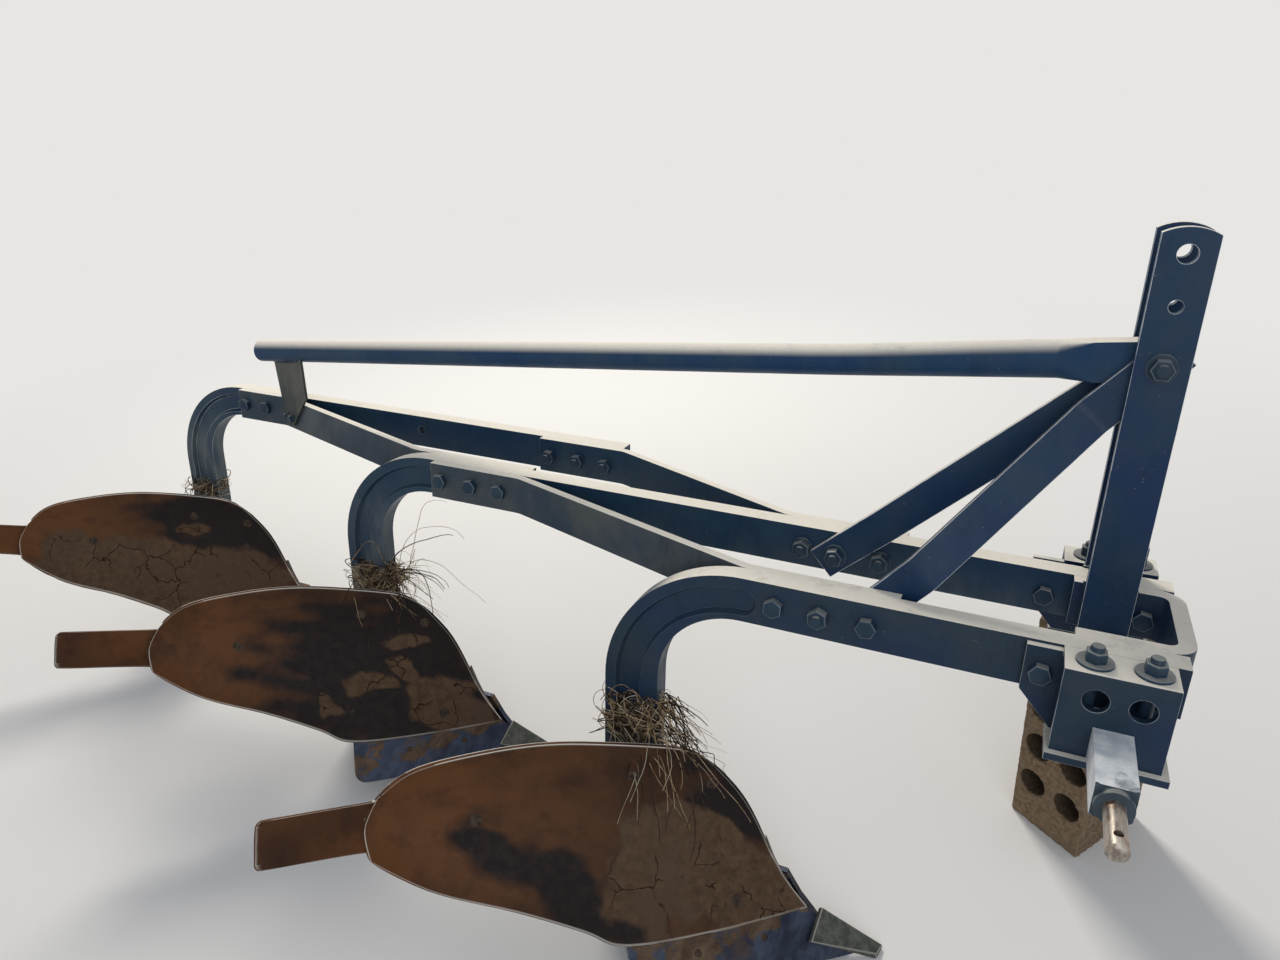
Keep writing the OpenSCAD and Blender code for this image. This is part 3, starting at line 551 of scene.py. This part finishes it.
# Each row: x, z, right and left ends of the grip in millimetres, nut on the right, washer's radius
frame_bolts = {
    "front": [(175, 40, 0, 58), (250, 40, 0, 58, True), (327, 40, 0, 70)],
    "lap": [(-647, 42, 236, 312), (-569, 42, 236, 312), (-497, 42, 236, 312)],
    "brace": [(160, 38, 254, 312, True, 0.019), (224, 38, 242, 312, True, 0.022),
              (305, 38, 254, 312, True, 0.019)],
    "tail": [(-1469, 42, 490, 548), (-1395, 42, 490, 548)],
    "end": [(-514, 38, 490, 548, True), (-439, 38, 490, 548, True), (-367, 38, 490, 548, True)],
    "headstock": [(584, 33, -12, 40), (735, 33, -12, 65), (584, 33, 254, 322), (735, 33, 229, 322)],
    "mast": [(680, 453, 213, 310, True, 0.022)],
}
for group, rows in frame_bolts.items():
    shape = bmesh.new()
    for row in rows:
        add_bolt(shape, *row)
    if group == "headstock":
        for x in (584, 735):
            add_disc(shape, ring_r, ring_high, to_place(x, 294.1, 33, (0, 1, 0)))
    place_mesh(shape, "bolts_" + group, [bolt_paint], 30.0)

# The stay bracket's two smaller bolts, along the slanting part of the crank plate
small_across = 0.018
small_washer_r = 0.0125
small_washer_high = 0.0022
shape = bmesh.new()
for reach in (24, 48):
    for side, off, high in ((-1, bracket_face, 0.0075), (1, flank_back, 0.010)):
        spot = flank_start + reach * flank_along + off * flank_left
        seat = to_place(spot.x, spot.y, 32, (*(side * flank_left), 0.0))
        add_disc(shape, small_washer_r, small_washer_high, seat)
        head = seat @ Matrix.Translation((0, 0, small_washer_high))
        add_disc(shape, small_across / math.sqrt(3), high, head, 6, 0.001)
place_mesh(shape, "bolts_stay_bracket", [bolt_paint], 30.0)

# The clamp bolts, a second nut on the left one in front
clamp_across = 0.027
clamp_rod = 0.148
clamp_washer_r = 0.0255
clamp_washer_high = 0.004
flange_top = 80
clamp_under = -68
for side, y, nuts_in_front in (("right", -33.5, 1), ("left", 343.5, 2)):
    shape = bmesh.new()
    for x, nuts in ((649.5, 1), (724.5, nuts_in_front)):
        top = to_place(x, y, flange_top, (0, 0, 1))
        add_disc(shape, clamp_washer_r, clamp_washer_high, top, 36)
        high = clamp_washer_high
        for k in range(nuts):
            nut = top @ Matrix.Translation((0, 0, high))
            add_disc(shape, clamp_across / math.sqrt(3), nut_high, nut, 6, 0.0014)
            high += nut_high + 0.0006
        add_thread(shape, high + 0.008, top)
        bottom = to_place(x, y, clamp_under, (0, 0, -1))
        add_disc(shape, bolt_across / math.sqrt(3), 0.007, bottom, 6, 0.0012)
        add_disc(shape, bolt_r, clamp_rod, bottom @ Matrix.Translation((0, 0, -clamp_rod)))
    place_mesh(shape, "clamp_bolts_" + side, [bolt_paint], 30.0)

# Weld beads
# Rows of overlapping beads laid by hand: along the feet of the mast plates, and where the stay
# tube lies on its bracket.
weld_r = 0.0036
bead_step = 0.0034
weld_chance = random.Random(11)


def add_weld(shape, points, radius):
    ends = [stance @ (Vector(point) / 1000) for point in points]
    for start, end in zip(ends, ends[1:]):
        count = max(1, int((end - start).length / bead_step))
        for k in range(count):
            wander = Vector([weld_chance.uniform(-0.0004, 0.0004) for axis in range(3)])
            at = Matrix.Translation(start.lerp(end, k / count) + wander)
            bead = radius * weld_chance.uniform(0.85, 1.1)
            bmesh.ops.create_icosphere(shape, subdivisions=2, radius=bead, matrix=at)


mast_edges = (642, 718)
mast_faces = (229, 294)
weld_shape = bmesh.new()
for y in mast_faces:
    add_weld(weld_shape, [(mast_edges[0], y, 80.5), (mast_edges[1], y, 80.5)], 0.0042)
for x in mast_edges:
    for y in mast_faces:
        add_weld(weld_shape, [(x, y, 80), (x, y, 4)], weld_r)
place_mesh(weld_shape, "mast_welds", [blue_paint], 60.0)

weld_shape = bmesh.new()
seam = []
for reach in range(-12, 128, 12):
    spot = flank_start + reach * flank_along + bracket_face * flank_left
    axis = stay_axis(spot.x)
    round_under = math.sqrt((tube_radius * (1 + tube_growth)) ** 2 - (spot.y - axis.y) ** 2)
    seam.append((spot.x, spot.y, axis.z - tube_drop - round_under - 0.5))
add_weld(weld_shape, seam, weld_r)
place_mesh(weld_shape, "stay_welds", [blue_paint], 60.0)

# Moldboards
# Steel sheet pressed to a twisted, hollow curve that lifts and turns the slice, countersunk bolts
# flush in its face. Rusted orange at the rear, black with mill scale ahead, caked with dry soil.
pitch = Vector((-0.811, 0.254, 0.0))
board_subdivisions = 3
soil_depth = 0.0022
rim_turn = 0.42
rim_crease = 0.96
# The tail pieces' rear corners: how far ahead of the end they lie, edge length at most, rounding
tail_reach = 0.03
tail_thick = 0.012
tail_round = 0.013
# Patches as x, z, radius along x, radius along z in metres and turn in degrees, seen from the
# furrow side of the front bottom
soil_patches = [
    [(0.07, -0.465, 0.12, 0.085, -24), (0.185, -0.535, 0.115, 0.05, -20), (0.01, -0.40, 0.06, 0.045, 0),
     (0.13, -0.43, 0.05, 0.035, -30)],
    [(0.062, -0.365, 0.055, 0.016, -12), (0.07, -0.425, 0.045, 0.024, -25),
     (0.01, -0.45, 0.05, 0.022, -20), (-0.052, -0.483, 0.04, 0.014, -15),
     (0.145, -0.505, 0.075, 0.05, -35), (0.22, -0.56, 0.06, 0.03, -40)],
    [(-0.06, -0.47, 0.25, 0.1, -14), (-0.22, -0.42, 0.16, 0.075, -16),
     (0.1, -0.5, 0.14, 0.075, -28), (-0.015, -0.33, 0.045, 0.012, -12)],
]
scale_patches = [
    [(-0.09, -0.485, 0.17, 0.028, -28), (0.14, -0.36, 0.09, 0.09, -50), (-0.2, -0.42, 0.1, 0.04, -25)],
    [(0.02, -0.42, 0.24, 0.16, -20), (0.1, -0.34, 0.13, 0.1, -45), (0.1, -0.5, 0.2, 0.1, -20)],
    [(0.09, -0.36, 0.19, 0.075, -30), (-0.03, -0.3, 0.14, 0.05, -10)],
]


# Without a seed the patches' edges would wander another way each time the script runs
patch_seed = 1795782722
noise.seed_set(patch_seed)


def in_patch(patches, x, z, wobble, sharp):
    best = -1.0
    for cx, cz, rx, rz, turn in patches:
        a = math.radians(turn)
        dx, dz = x - cx, z - cz
        along = (dx * math.cos(a) + dz * math.sin(a)) / rx
        across = (dz * math.cos(a) - dx * math.sin(a)) / rz
        best = max(best, 1.0 - math.hypot(along, across))
    return min(max((best + wobble) * sharp + 0.5, 0.0), 1.0)


board_rust, tree, shader, place = start_finish("board_rust")
cloud = grain(tree, place, 7.0, 6.0, 0.65)
fine = grain(tree, place, 55.0, 6.0, 0.7)
rear = painted_on(tree, "rearward")
colour = tint(tree, spread(tree, cloud, 0.35, 0.65), (0.046, 0.0215, 0.0115), (0.082, 0.037, 0.017))
orange = combine(tree, "MULTIPLY", rear, spread(tree, cloud, 0.35, 0.6, 0.35, 1.0))
colour = tint(tree, orange, colour, (0.135, 0.053, 0.0185))
flow = grain(tree, place, 18.0, 5.0, 0.6, (0.25, 1.0, 1.0), 9.0)
colour = tint(tree, spread(tree, flow, 0.48, 0.75, 0.0, 0.6), colour, (0.026, 0.013, 0.009))
mill_scale = spread(tree, fine, 0.25, 0.6, 0.88, 1.0)
mill_scale = combine(tree, "MULTIPLY", painted_on(tree, "scale"), mill_scale)
colour = tint(tree, mill_scale, colour, (0.0125, 0.0085, 0.009))
wander = tree.nodes.new("ShaderNodeTexNoise")
wander.inputs["Scale"].default_value = 16.0
wander.inputs["Detail"].default_value = 6.0
tree.links.new(place, wander.inputs["Vector"])
crack_cells = tree.nodes.new("ShaderNodeTexVoronoi")
crack_cells.feature = "DISTANCE_TO_EDGE"
crack_cells.inputs["Scale"].default_value = 12.0
tree.links.new(tint(tree, 0.07, place, wander.outputs["Color"]), crack_cells.inputs["Vector"])
crack = spread(tree, crack_cells.outputs["Distance"], 0.0, 0.022, 1.0, 0.0)
crack_here = spread(tree, grain(tree, place, 9.0, 3.0, offset=6.0), 0.43, 0.5)
crack = combine(tree, "MULTIPLY", crack, crack_here)
soil = painted_on(tree, "soil")
soil_colour = tint(tree, spread(tree, fine, 0.3, 0.7), (0.075, 0.044, 0.025), (0.135, 0.083, 0.05))
soil_colour = tint(tree, spread(tree, cloud, 0.4, 0.7), soil_colour, (0.105, 0.068, 0.044))
soil_colour = tint(tree, crack, soil_colour, (0.02, 0.011, 0.007))
colour = tint(tree, soil, colour, soil_colour)
# Rims lighten as wear and as a painted highlight; up-facing rims turn near-white as dust and painted
# sunlight
wear = combine(tree, "MULTIPLY", painted_on(tree, "worn"), spread(tree, cloud, 0.35, 0.6, 0.25, 0.5))
colour = tint(tree, wear, colour, (0.42, 0.36, 0.3))
dusted_and_sunlit_rim = combine(tree, "MULTIPLY", painted_on(tree, "worn"), facing_up(tree, 0.25, 0.75))
colour = tint(tree, dusted_and_sunlit_rim, colour, (0.8, 0.75, 0.66))
tree.links.new(colour, shader.inputs["Base Color"])
dull = spread(tree, fine, 0.3, 0.7, 0.5, 0.68)
dull = combine(tree, "ADD", dull, combine(tree, "MULTIPLY", soil, 0.4))
tree.links.new(dull, shader.inputs["Roughness"])
shader.inputs["Specular IOR Level"].default_value = 0.16
relief(tree, shader, fine, 0.35, 0.0012)
open_crack = combine(tree, "MULTIPLY", crack, soil)
relief(tree, shader, combine(tree, "SUBTRACT", soil, open_crack), 0.6, 0.0012)


def shape_of(carrier):
    bpy.context.view_layer.update()
    done = carrier.evaluated_get(bpy.context.evaluated_depsgraph_get())
    mesh = bpy.data.meshes.new_from_object(done)
    bpy.data.objects.remove(carrier)
    shape = bmesh.new()
    shape.from_mesh(mesh)
    bpy.data.meshes.remove(mesh)
    return shape


def board_piece(node, bottom, coated):
    shape = merged(node)
    bmesh.ops.join_triangles(shape, faces=shape.faces, angle_face_threshold=math.radians(25),
                             angle_shape_threshold=math.radians(60))
    if not coated:
        rear = min((unstance @ v.co).x for v in shape.verts)
        corners = []
        for edge in shape.edges:
            ends = [(unstance @ v.co) for v in edge.verts]
            sharp = sum(e.calc_face_angle(0.0) > 0.7 for v in edge.verts for e in v.link_edges) >= 6
            if sharp and max(e.x for e in ends) < rear + tail_reach and edge.calc_length() < tail_thick:
                corners.append(edge)
        bmesh.ops.bevel(shape, geom=corners, offset=tail_round, offset_type="OFFSET", segments=3,
                        profile=0.5, affect="EDGES", material=-1, clamp_overlap=True)
    crease = shape.edges.layers.float.get("crease_edge") or shape.edges.layers.float.new("crease_edge")
    for edge in shape.edges:
        if edge.calc_face_angle(0.0) > math.radians(40):
            edge[crease] = rim_crease
    base = bpy.data.meshes.new(node)
    shape.to_mesh(base)
    shape.free()
    carrier = bpy.data.objects.new(node + "_carrier", base)
    bpy.context.collection.objects.link(carrier)
    smooth = carrier.modifiers.new("smooth", "SUBSURF")
    smooth.levels = smooth.render_levels = board_subdivisions
    shape = shape_of(carrier)
    layers = {key: shape.verts.layers.float.new(key) for key in ("soil", "scale", "rearward", "worn")}
    shape.normal_update()
    furrow_side = lean.to_3x3() @ Vector((0.3, -0.9, 0.3))
    home = unstance.copy()
    home.translation -= pitch * bottom
    for vert in shape.verts:
        body = home @ vert.co
        warp = noise.noise_vector(body * 11.0 + Vector((bottom * 7.0, 0, 0))) * 0.03
        warp += noise.noise_vector(body * 34.0) * 0.011
        wobble = 0.3 * noise.noise(body * 24.0) + 0.15 * noise.noise(body * 80.0)
        streak = Vector((body.x * 7.0, body.y * 20.0, body.z * 38.0 + 0.4 * body.x + bottom))
        flow_noise = noise.noise(streak)
        shown = vert.normal.dot(furrow_side) > 0.2
        vert[layers["rearward"]] = min(max((-0.02 - body.x) / 0.32 + 0.5 * wobble, 0.0), 1.0)
        if coated and shown:
            x, z = body.x + warp.x, body.z + warp.z
            uneven = 0.35 * wobble + 0.45 * flow_noise
            vert[layers["scale"]] = in_patch(scale_patches[bottom], x, z, uneven, 2.2)
            vert[layers["soil"]] = in_patch(soil_patches[bottom], x, z, wobble * 0.6, 6.0)
        elif coated:
            vert[layers["scale"]] = 0.35
        else:
            clouded = 0.3 + 0.9 * noise.noise(body * 9.0 + Vector((bottom, 0, 0)))
            vert[layers["scale"]] = min(max(clouded, 0.0), 0.8)
        turns = [e.calc_face_angle(0.0) for e in vert.link_edges if len(e.link_faces) == 2]
        if sum(turn > rim_turn for turn in turns) > 1:
            vert[layers["worn"]] = 1.0
    if coated:
        lifts = [(v, v.normal * soil_depth * v[layers["soil"]] * (0.75 + 0.5 * noise.noise(v.co * 30.0)))
                 for v in shape.verts]
        for vert, lift in lifts:
            vert.co += lift
    piece = place_mesh(shape, node + "_finished", [board_rust], 38.0)
    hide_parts(node)
    return piece


boards = [board_piece("moldboard_%d" % (n + 1), n, True) for n in range(3)]

# Tail pieces
# Narrow steel plates bolted behind the rear ends of the moldboards to press the slice over,
# rusted all over.
for n in range(3):
    board_piece("tail_piece_%d" % (n + 1), n, False)

# Shares, points and landsides
# Wearing steel: hardened shares bolted under the moldboards, chisel points on their noses and
# flat landsides that slide along the uncut soil, all scoured to bare blue-grey steel.
share_steel, tree, shader, place = start_finish("share_steel")
scour = grain(tree, place, 26.0, 6.0, 0.7, (1.0, 0.35, 1.0))
cloud = grain(tree, place, 9.0, 5.0, 0.6, offset=3.0)
colour = tint(tree, spread(tree, scour, 0.35, 0.65), (0.018, 0.022, 0.042), (0.05, 0.066, 0.105))
colour = tint(tree, spread(tree, cloud, 0.55, 0.7, 0.0, 0.8), colour, (0.07, 0.047, 0.034))
split = tree.nodes.new("ShaderNodeSeparateXYZ")
tree.links.new(place, split.inputs["Vector"])
high_up = spread(tree, split.outputs["Z"], 0.045, 0.09, -0.16, 0.12)
edge_noise = combine(tree, "ADD", high_up, grain(tree, place, 14.0, 6.0, 0.65, offset=12.0))
mud = spread(tree, edge_noise, 0.56, 0.62)
mud_colour = tint(tree, spread(tree, scour, 0.35, 0.65), (0.075, 0.047, 0.029), (0.17, 0.115, 0.075))
wear = combine(tree, "MULTIPLY", painted_on(tree, "worn"), 0.8)
colour = tint(tree, wear, colour, (0.5, 0.52, 0.55))
colour = tint(tree, mud, colour, mud_colour)
tree.links.new(colour, shader.inputs["Base Color"])
tree.links.new(spread(tree, mud, 0.0, 1.0, 0.5, 0.0), shader.inputs["Metallic"])
dull = spread(tree, scour, 0.3, 0.7, 0.3, 0.5)
dull = combine(tree, "ADD", dull, combine(tree, "MULTIPLY", mud, 0.5))
tree.links.new(dull, shader.inputs["Roughness"])
relief(tree, shader, scour, 0.4, 0.0008)
relief(tree, shader, mud, 0.5, 0.0012)
wing_corner = Vector((0.054, -0.264, -0.637))
wing_round = 0.026


def round_wing(bottom):
    def reshape(shape):
        at = wing_corner + pitch * bottom
        corner = [e for e in shape.edges
                  if all(((unstance @ v.co) - at).length < 0.006 for v in e.verts)]
        bmesh.ops.bevel(shape, geom=corner, offset=wing_round, offset_type="OFFSET", segments=6,
                        profile=0.5, affect="EDGES", material=-1, clamp_overlap=True)
    return reshape


for n in range(3):
    softened("share_%d" % (n + 1), thin_round, [share_steel], reshape=round_wing(n))
    softened("landside_%d" % (n + 1), 0.0015, [share_steel])

point_steel, tree, shader, place = start_finish("point_steel")
pit = grain(tree, place, 48.0, 6.0, 0.75)
colour = tint(tree, spread(tree, pit, 0.35, 0.65), (0.055, 0.06, 0.054), (0.12, 0.125, 0.11))
wear = combine(tree, "MULTIPLY", painted_on(tree, "worn"), 0.6)
colour = tint(tree, wear, colour, (0.42, 0.41, 0.38))
tree.links.new(colour, shader.inputs["Base Color"])
shader.inputs["Metallic"].default_value = 0.35
shader.inputs["Roughness"].default_value = 0.55
relief(tree, shader, pit, 0.5, 0.0012)
for n in (1, 2, 3):
    softened("point_%d" % n, 0.002, [point_steel])

# Plough bolts
# Countersunk bolts with square necks, their heads ground flush with the moldboards, shares and
# landsides they hold.
head_r = 0.0115
head_sunk = 0.003
head_proud = 0.0006
neck_r = 0.0064
body_right = lean.to_3x3() @ Vector((0.0, -1.0, 0.0))
# Places as x, z in the body, seen from the furrow side; then as x, y, z and way out
board_bolts = [(0.165, -0.535), (0.066, -0.574), (0.094, -0.33), (-0.03, -0.30), (-0.262, -0.36)]
share_bolts = [((0.2231, -0.0730, -0.5902), (0.476, -0.561, 0.678)),
               ((0.1257, -0.1550, -0.5897), (0.486, -0.573, 0.659))]
landside_bolts = [((-0.107, 0.052, -0.561), (0.0, 1.0, 0.0)), ((0.093, 0.052, -0.561), (0.0, 1.0, 0.0))]
worn_head, tree, shader, place = start_finish("worn_head")
pit = spread(tree, grain(tree, place, 90.0, 5.0, 0.7), 0.4, 0.6)
colour = tint(tree, pit, (0.022, 0.013, 0.009), (0.07, 0.045, 0.03))
tree.links.new(colour, shader.inputs["Base Color"])
shader.inputs["Roughness"].default_value = 0.6
for n in range(3):
    body = stance @ Matrix.Translation(pitch * n)
    surface = bmesh.new()
    surface.from_mesh(boards[n].data)
    board_faces = BVHTree.FromBMesh(surface)
    surface.free()
    shape = bmesh.new()
    for x, z in board_bolts:
        start = body @ Vector((x, -0.9, z))
        hit, out, face, reach = board_faces.ray_cast(start, -body_right)
        if hit:
            low = Matrix.Translation(hit - out * head_sunk) @ turned_to(out)
            add_disc(shape, head_r, head_sunk + head_proud, low)
    for bolts, high, sunk in ((share_bolts, 0.0078, 0.0085), (landside_bolts, 0.0115, 0.0119)):
        for at, out in bolts:
            foot = Vector(at) - Vector(out) * sunk
            low = body @ Matrix.Translation(foot) @ turned_to(out)
            add_disc(shape, neck_r, high, low)
    place_mesh(shape, "plough_bolts_%d" % (n + 1), [worn_head], 30.0)

# Frogs and rods
# The welded frog under each leg carries moldboard, share and landside, and a round rod props
# the moldboard's rear half. Both still have their blue paint, dulled with soil.
soiled_paint = blue_finish("soiled_paint", (0.018, 0.028, 0.045), (0.055, 0.042, 0.03), 0.7,
                           (0.22, 0.19, 0.17))
for n in (1, 2, 3):
    softened("frog_%d" % n, 0.001, [soiled_paint])
    softened("board_rod_%d" % n, 0.0008, [soiled_paint])

# Dry straw
# Stalks, grass blades and roots the bottoms tore out, dried where they lodged around the legs
# above the moldboards. Grown as thin curves that sink until they lie on the steel.
straw_step = 0.009
straw_curl = 0.09
straw_sag = 0.085
straw_wander = 0.075
straw_clear = 0.0016
clump_pull = 6.5
# For each of the three straw colours: half a stalk's thickness, and its share of the strands
straw_kinds = [(0.001, 0.45), (0.0008, 0.2), (0.0015, 0.35)]
# Middle of the clump in its body, spread, strands, fewest and most steps, heading or None, rise
straw_clumps = [
    [((-0.075, 0.01, -0.235), (0.062, 0.036, 0.042), 230, 8, 17, None, 0.1),
     ((-0.05, -0.03, -0.245), (0.085, 0.03, 0.018), 64, 13, 24, -22, 0.1),
     ((-0.1, -0.03, -0.225), (0.05, 0.02, 0.02), 9, 16, 28, 5, 0.1),
     ((-0.015, 0.0, -0.215), (0.024, 0.03, 0.03), 60, 8, 14, -35, -0.2)],
    [((-0.055, 0.01, -0.25), (0.066, 0.04, 0.04), 220, 8, 18, None, 0.2),
     ((0.0, 0.0, -0.25), (0.04, 0.03, 0.02), 12, 20, 34, 5, 2.2),
     ((-0.01, 0.0, -0.235), (0.03, 0.03, 0.02), 40, 8, 15, -10, 0.1),
     ((-0.03, -0.03, -0.26), (0.08, 0.025, 0.014), 26, 10, 20, -25, 0.1)],
    [((-0.075, 0.01, -0.25), (0.058, 0.036, 0.032), 130, 7, 14, None, 0.2)],
]
straw_colours = [("straw_tan", (0.2, 0.13, 0.07), (0.5, 0.37, 0.22)),
                 ("straw_pale", (0.4, 0.33, 0.22), (0.68, 0.6, 0.45)),
                 ("straw_dark", (0.02, 0.013, 0.008), (0.06, 0.036, 0.02))]
straw_finishes = []
for name, low, high in straw_colours:
    straw_finish, tree, shader, place = start_finish(name)
    colour = tint(tree, spread(tree, grain(tree, place, 45.0, 4.0), 0.35, 0.65), low, high)
    tree.links.new(colour, shader.inputs["Base Color"])
    shader.inputs["Roughness"].default_value = 0.8
    straw_finishes.append(straw_finish)


def grow(spline, chance, at, along, steps, obstacle, home, pull):
    points = []
    curl = chance.uniform(-straw_curl, straw_curl)
    for k in range(steps):
        near, out, face, gap = obstacle.find_nearest(at)
        if gap is not None and ((at - near).dot(out) < straw_clear and gap < 0.02):
            at = near + out * straw_clear
        points.append(at.copy())
        bent = Vector((along.x - curl * along.y, along.y + curl * along.x, along.z - straw_sag))
        bent += (home - at) * pull
        along = (bent + Vector([chance.gauss(0.0, straw_wander) for axis in range(3)])).normalized()
        at = at + along * straw_step
    spline.points.add(len(points) - 1)
    for k, (point, to) in enumerate(zip(spline.points, points)):
        point.co = (*to, 1.0)
        point.radius = 1.0 - 0.55 * k / len(points)
    spline.use_endpoint_u = True
    spline.order_u = 3
    spline.resolution_u = 2


for n, clumps in enumerate(straw_clumps):
    chance = random.Random(40 + n)
    body = stance @ Matrix.Translation(pitch * n)
    steel = bmesh.new()
    for name in ("beam_%d", "moldboard_%d", "frog_%d"):
        steel.from_mesh(frame["nodes"][name % (n + 1)].data)
    steel.from_mesh(boards[n].data)
    obstacle = BVHTree.FromBMesh(steel)
    steel.free()
    for kind, (thick, share) in enumerate(straw_kinds):
        strands = bpy.data.curves.new("straw", "CURVE")
        strands.dimensions = "3D"
        strands.bevel_depth = thick
        strands.bevel_resolution = 0
        strands.use_fill_caps = True
        for middle, wide, count, fewest, most, heading, rise in clumps:
            for k in range(int(count * share)):
                off = Vector([chance.uniform(-1, 1) * w for w in wide])
                swing = chance.uniform(0, 2 * math.pi)
                if heading is not None:
                    swing = math.radians(heading + chance.gauss(0.0, 28.0))
                along = Vector((math.cos(swing), math.sin(swing), rise + chance.gauss(0.0, 0.3)))
                home = body @ Vector(middle)
                at = body @ (Vector(middle) + off)
                steps = chance.randint(fewest, most)
                pull = clump_pull if heading is None else 0.0
                spline = strands.splines.new("NURBS")
                grow(spline, chance, at, along.normalized(), steps, obstacle, home, pull)
        carrier = bpy.data.objects.new("straw_carrier", strands)
        bpy.context.collection.objects.link(carrier)
        shape = shape_of(carrier)
        for vert in shape.verts:
            vert.co.z = max(vert.co.z, 0.001)
        bmesh.ops.recalc_face_normals(shape, faces=shape.faces)
        straw_name = "straw_%d_%s" % (n + 1, "abc"[kind])
        place_mesh(shape, straw_name, [straw_finishes[kind]], 80.0)

# Hollow block
# A pressed cement block with eight round holes, stood on end under the left bracket. Crumbly
# grey-brown surface with chipped edges, the walls deep in the holes painted dark as shade.
cement, tree, shader, place = start_finish("cement")
sand = grain(tree, place, 110.0, 6.0, 0.75)
cloud = grain(tree, place, 12.0, 5.0)
colour = tint(tree, spread(tree, sand, 0.3, 0.7), (0.1, 0.066, 0.04), (0.3, 0.215, 0.135))
colour = tint(tree, spread(tree, cloud, 0.4, 0.7, 0.0, 0.6), colour, (0.24, 0.175, 0.115))
# The walls deep inside the holes are painted near-black: painted shade
painted_hole_shade = combine(tree, "MULTIPLY", painted_on(tree, "hole_shade"), 0.7)
colour = tint(tree, painted_hole_shade, colour, (0.035, 0.022, 0.013))
tree.links.new(colour, shader.inputs["Base Color"])
shader.inputs["Roughness"].default_value = 0.95
relief(tree, shader, sand, 0.8, 0.003)

block_grain = 0.0042
shape = merged("support_block")
base = bpy.data.meshes.new("block")
shape.to_mesh(base)
shape.free()
carrier = bpy.data.objects.new("block_carrier", base)
bpy.context.collection.objects.link(carrier)
voxels = carrier.modifiers.new("voxels", "REMESH")
voxels.mode = "VOXEL"
voxels.voxel_size = block_grain
shape = shape_of(carrier)
shape.normal_update()
block_corner = Vector((1.36193, 0.266989, 0.0))
block_turn = Matrix.Rotation(math.radians(-53), 3, "Z")
hole_r = 0.023
hole_wider = 0.0055
hole_lip = 0.016
hole_sides = (0.04, 0.12)
hole_heights = (0.106, 0.202, 0.298, 0.394)
hole_shade = shape.verts.layers.float.new("hole_shade")
moves = []
for vert in shape.verts:
    crumbs = noise.noise(vert.co * 95.0) * 0.0011 + noise.noise(vert.co * 240.0) * 0.0006
    dent = max(0.0, noise.noise(vert.co * 28.0) - 0.25) * 0.006
    local = block_turn @ (vert.co - block_corner)
    across = min(hole_sides, key=lambda y: abs(local.y - y))
    height = min(hole_heights, key=lambda z: abs(local.z - z))
    off = Vector((0.0, local.y - across, local.z - height))
    spare = 0.0
    if off.length < hole_r + hole_lip:
        share = min(max(1.0 - (off.length - hole_r) / hole_lip, 0.0), 1.0)
        spare = share * hole_wider
        # Marks the hole walls that get painted shade
        deep_in = off.length < hole_r + 0.0015 and 0.004 < local.x < 0.186
        vert[hole_shade] = float(deep_in)
    outward = block_turn.transposed() @ (off.normalized() * spare)
    moves.append(vert.normal * (crumbs - dent - 0.0008) + outward)
for vert, move in zip(shape.verts, moves):
    vert.co += move
    vert.co.z = max(vert.co.z, 0.0)
block = place_mesh(shape, "support_block_finished", [cement], 60.0)
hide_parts("support_block")
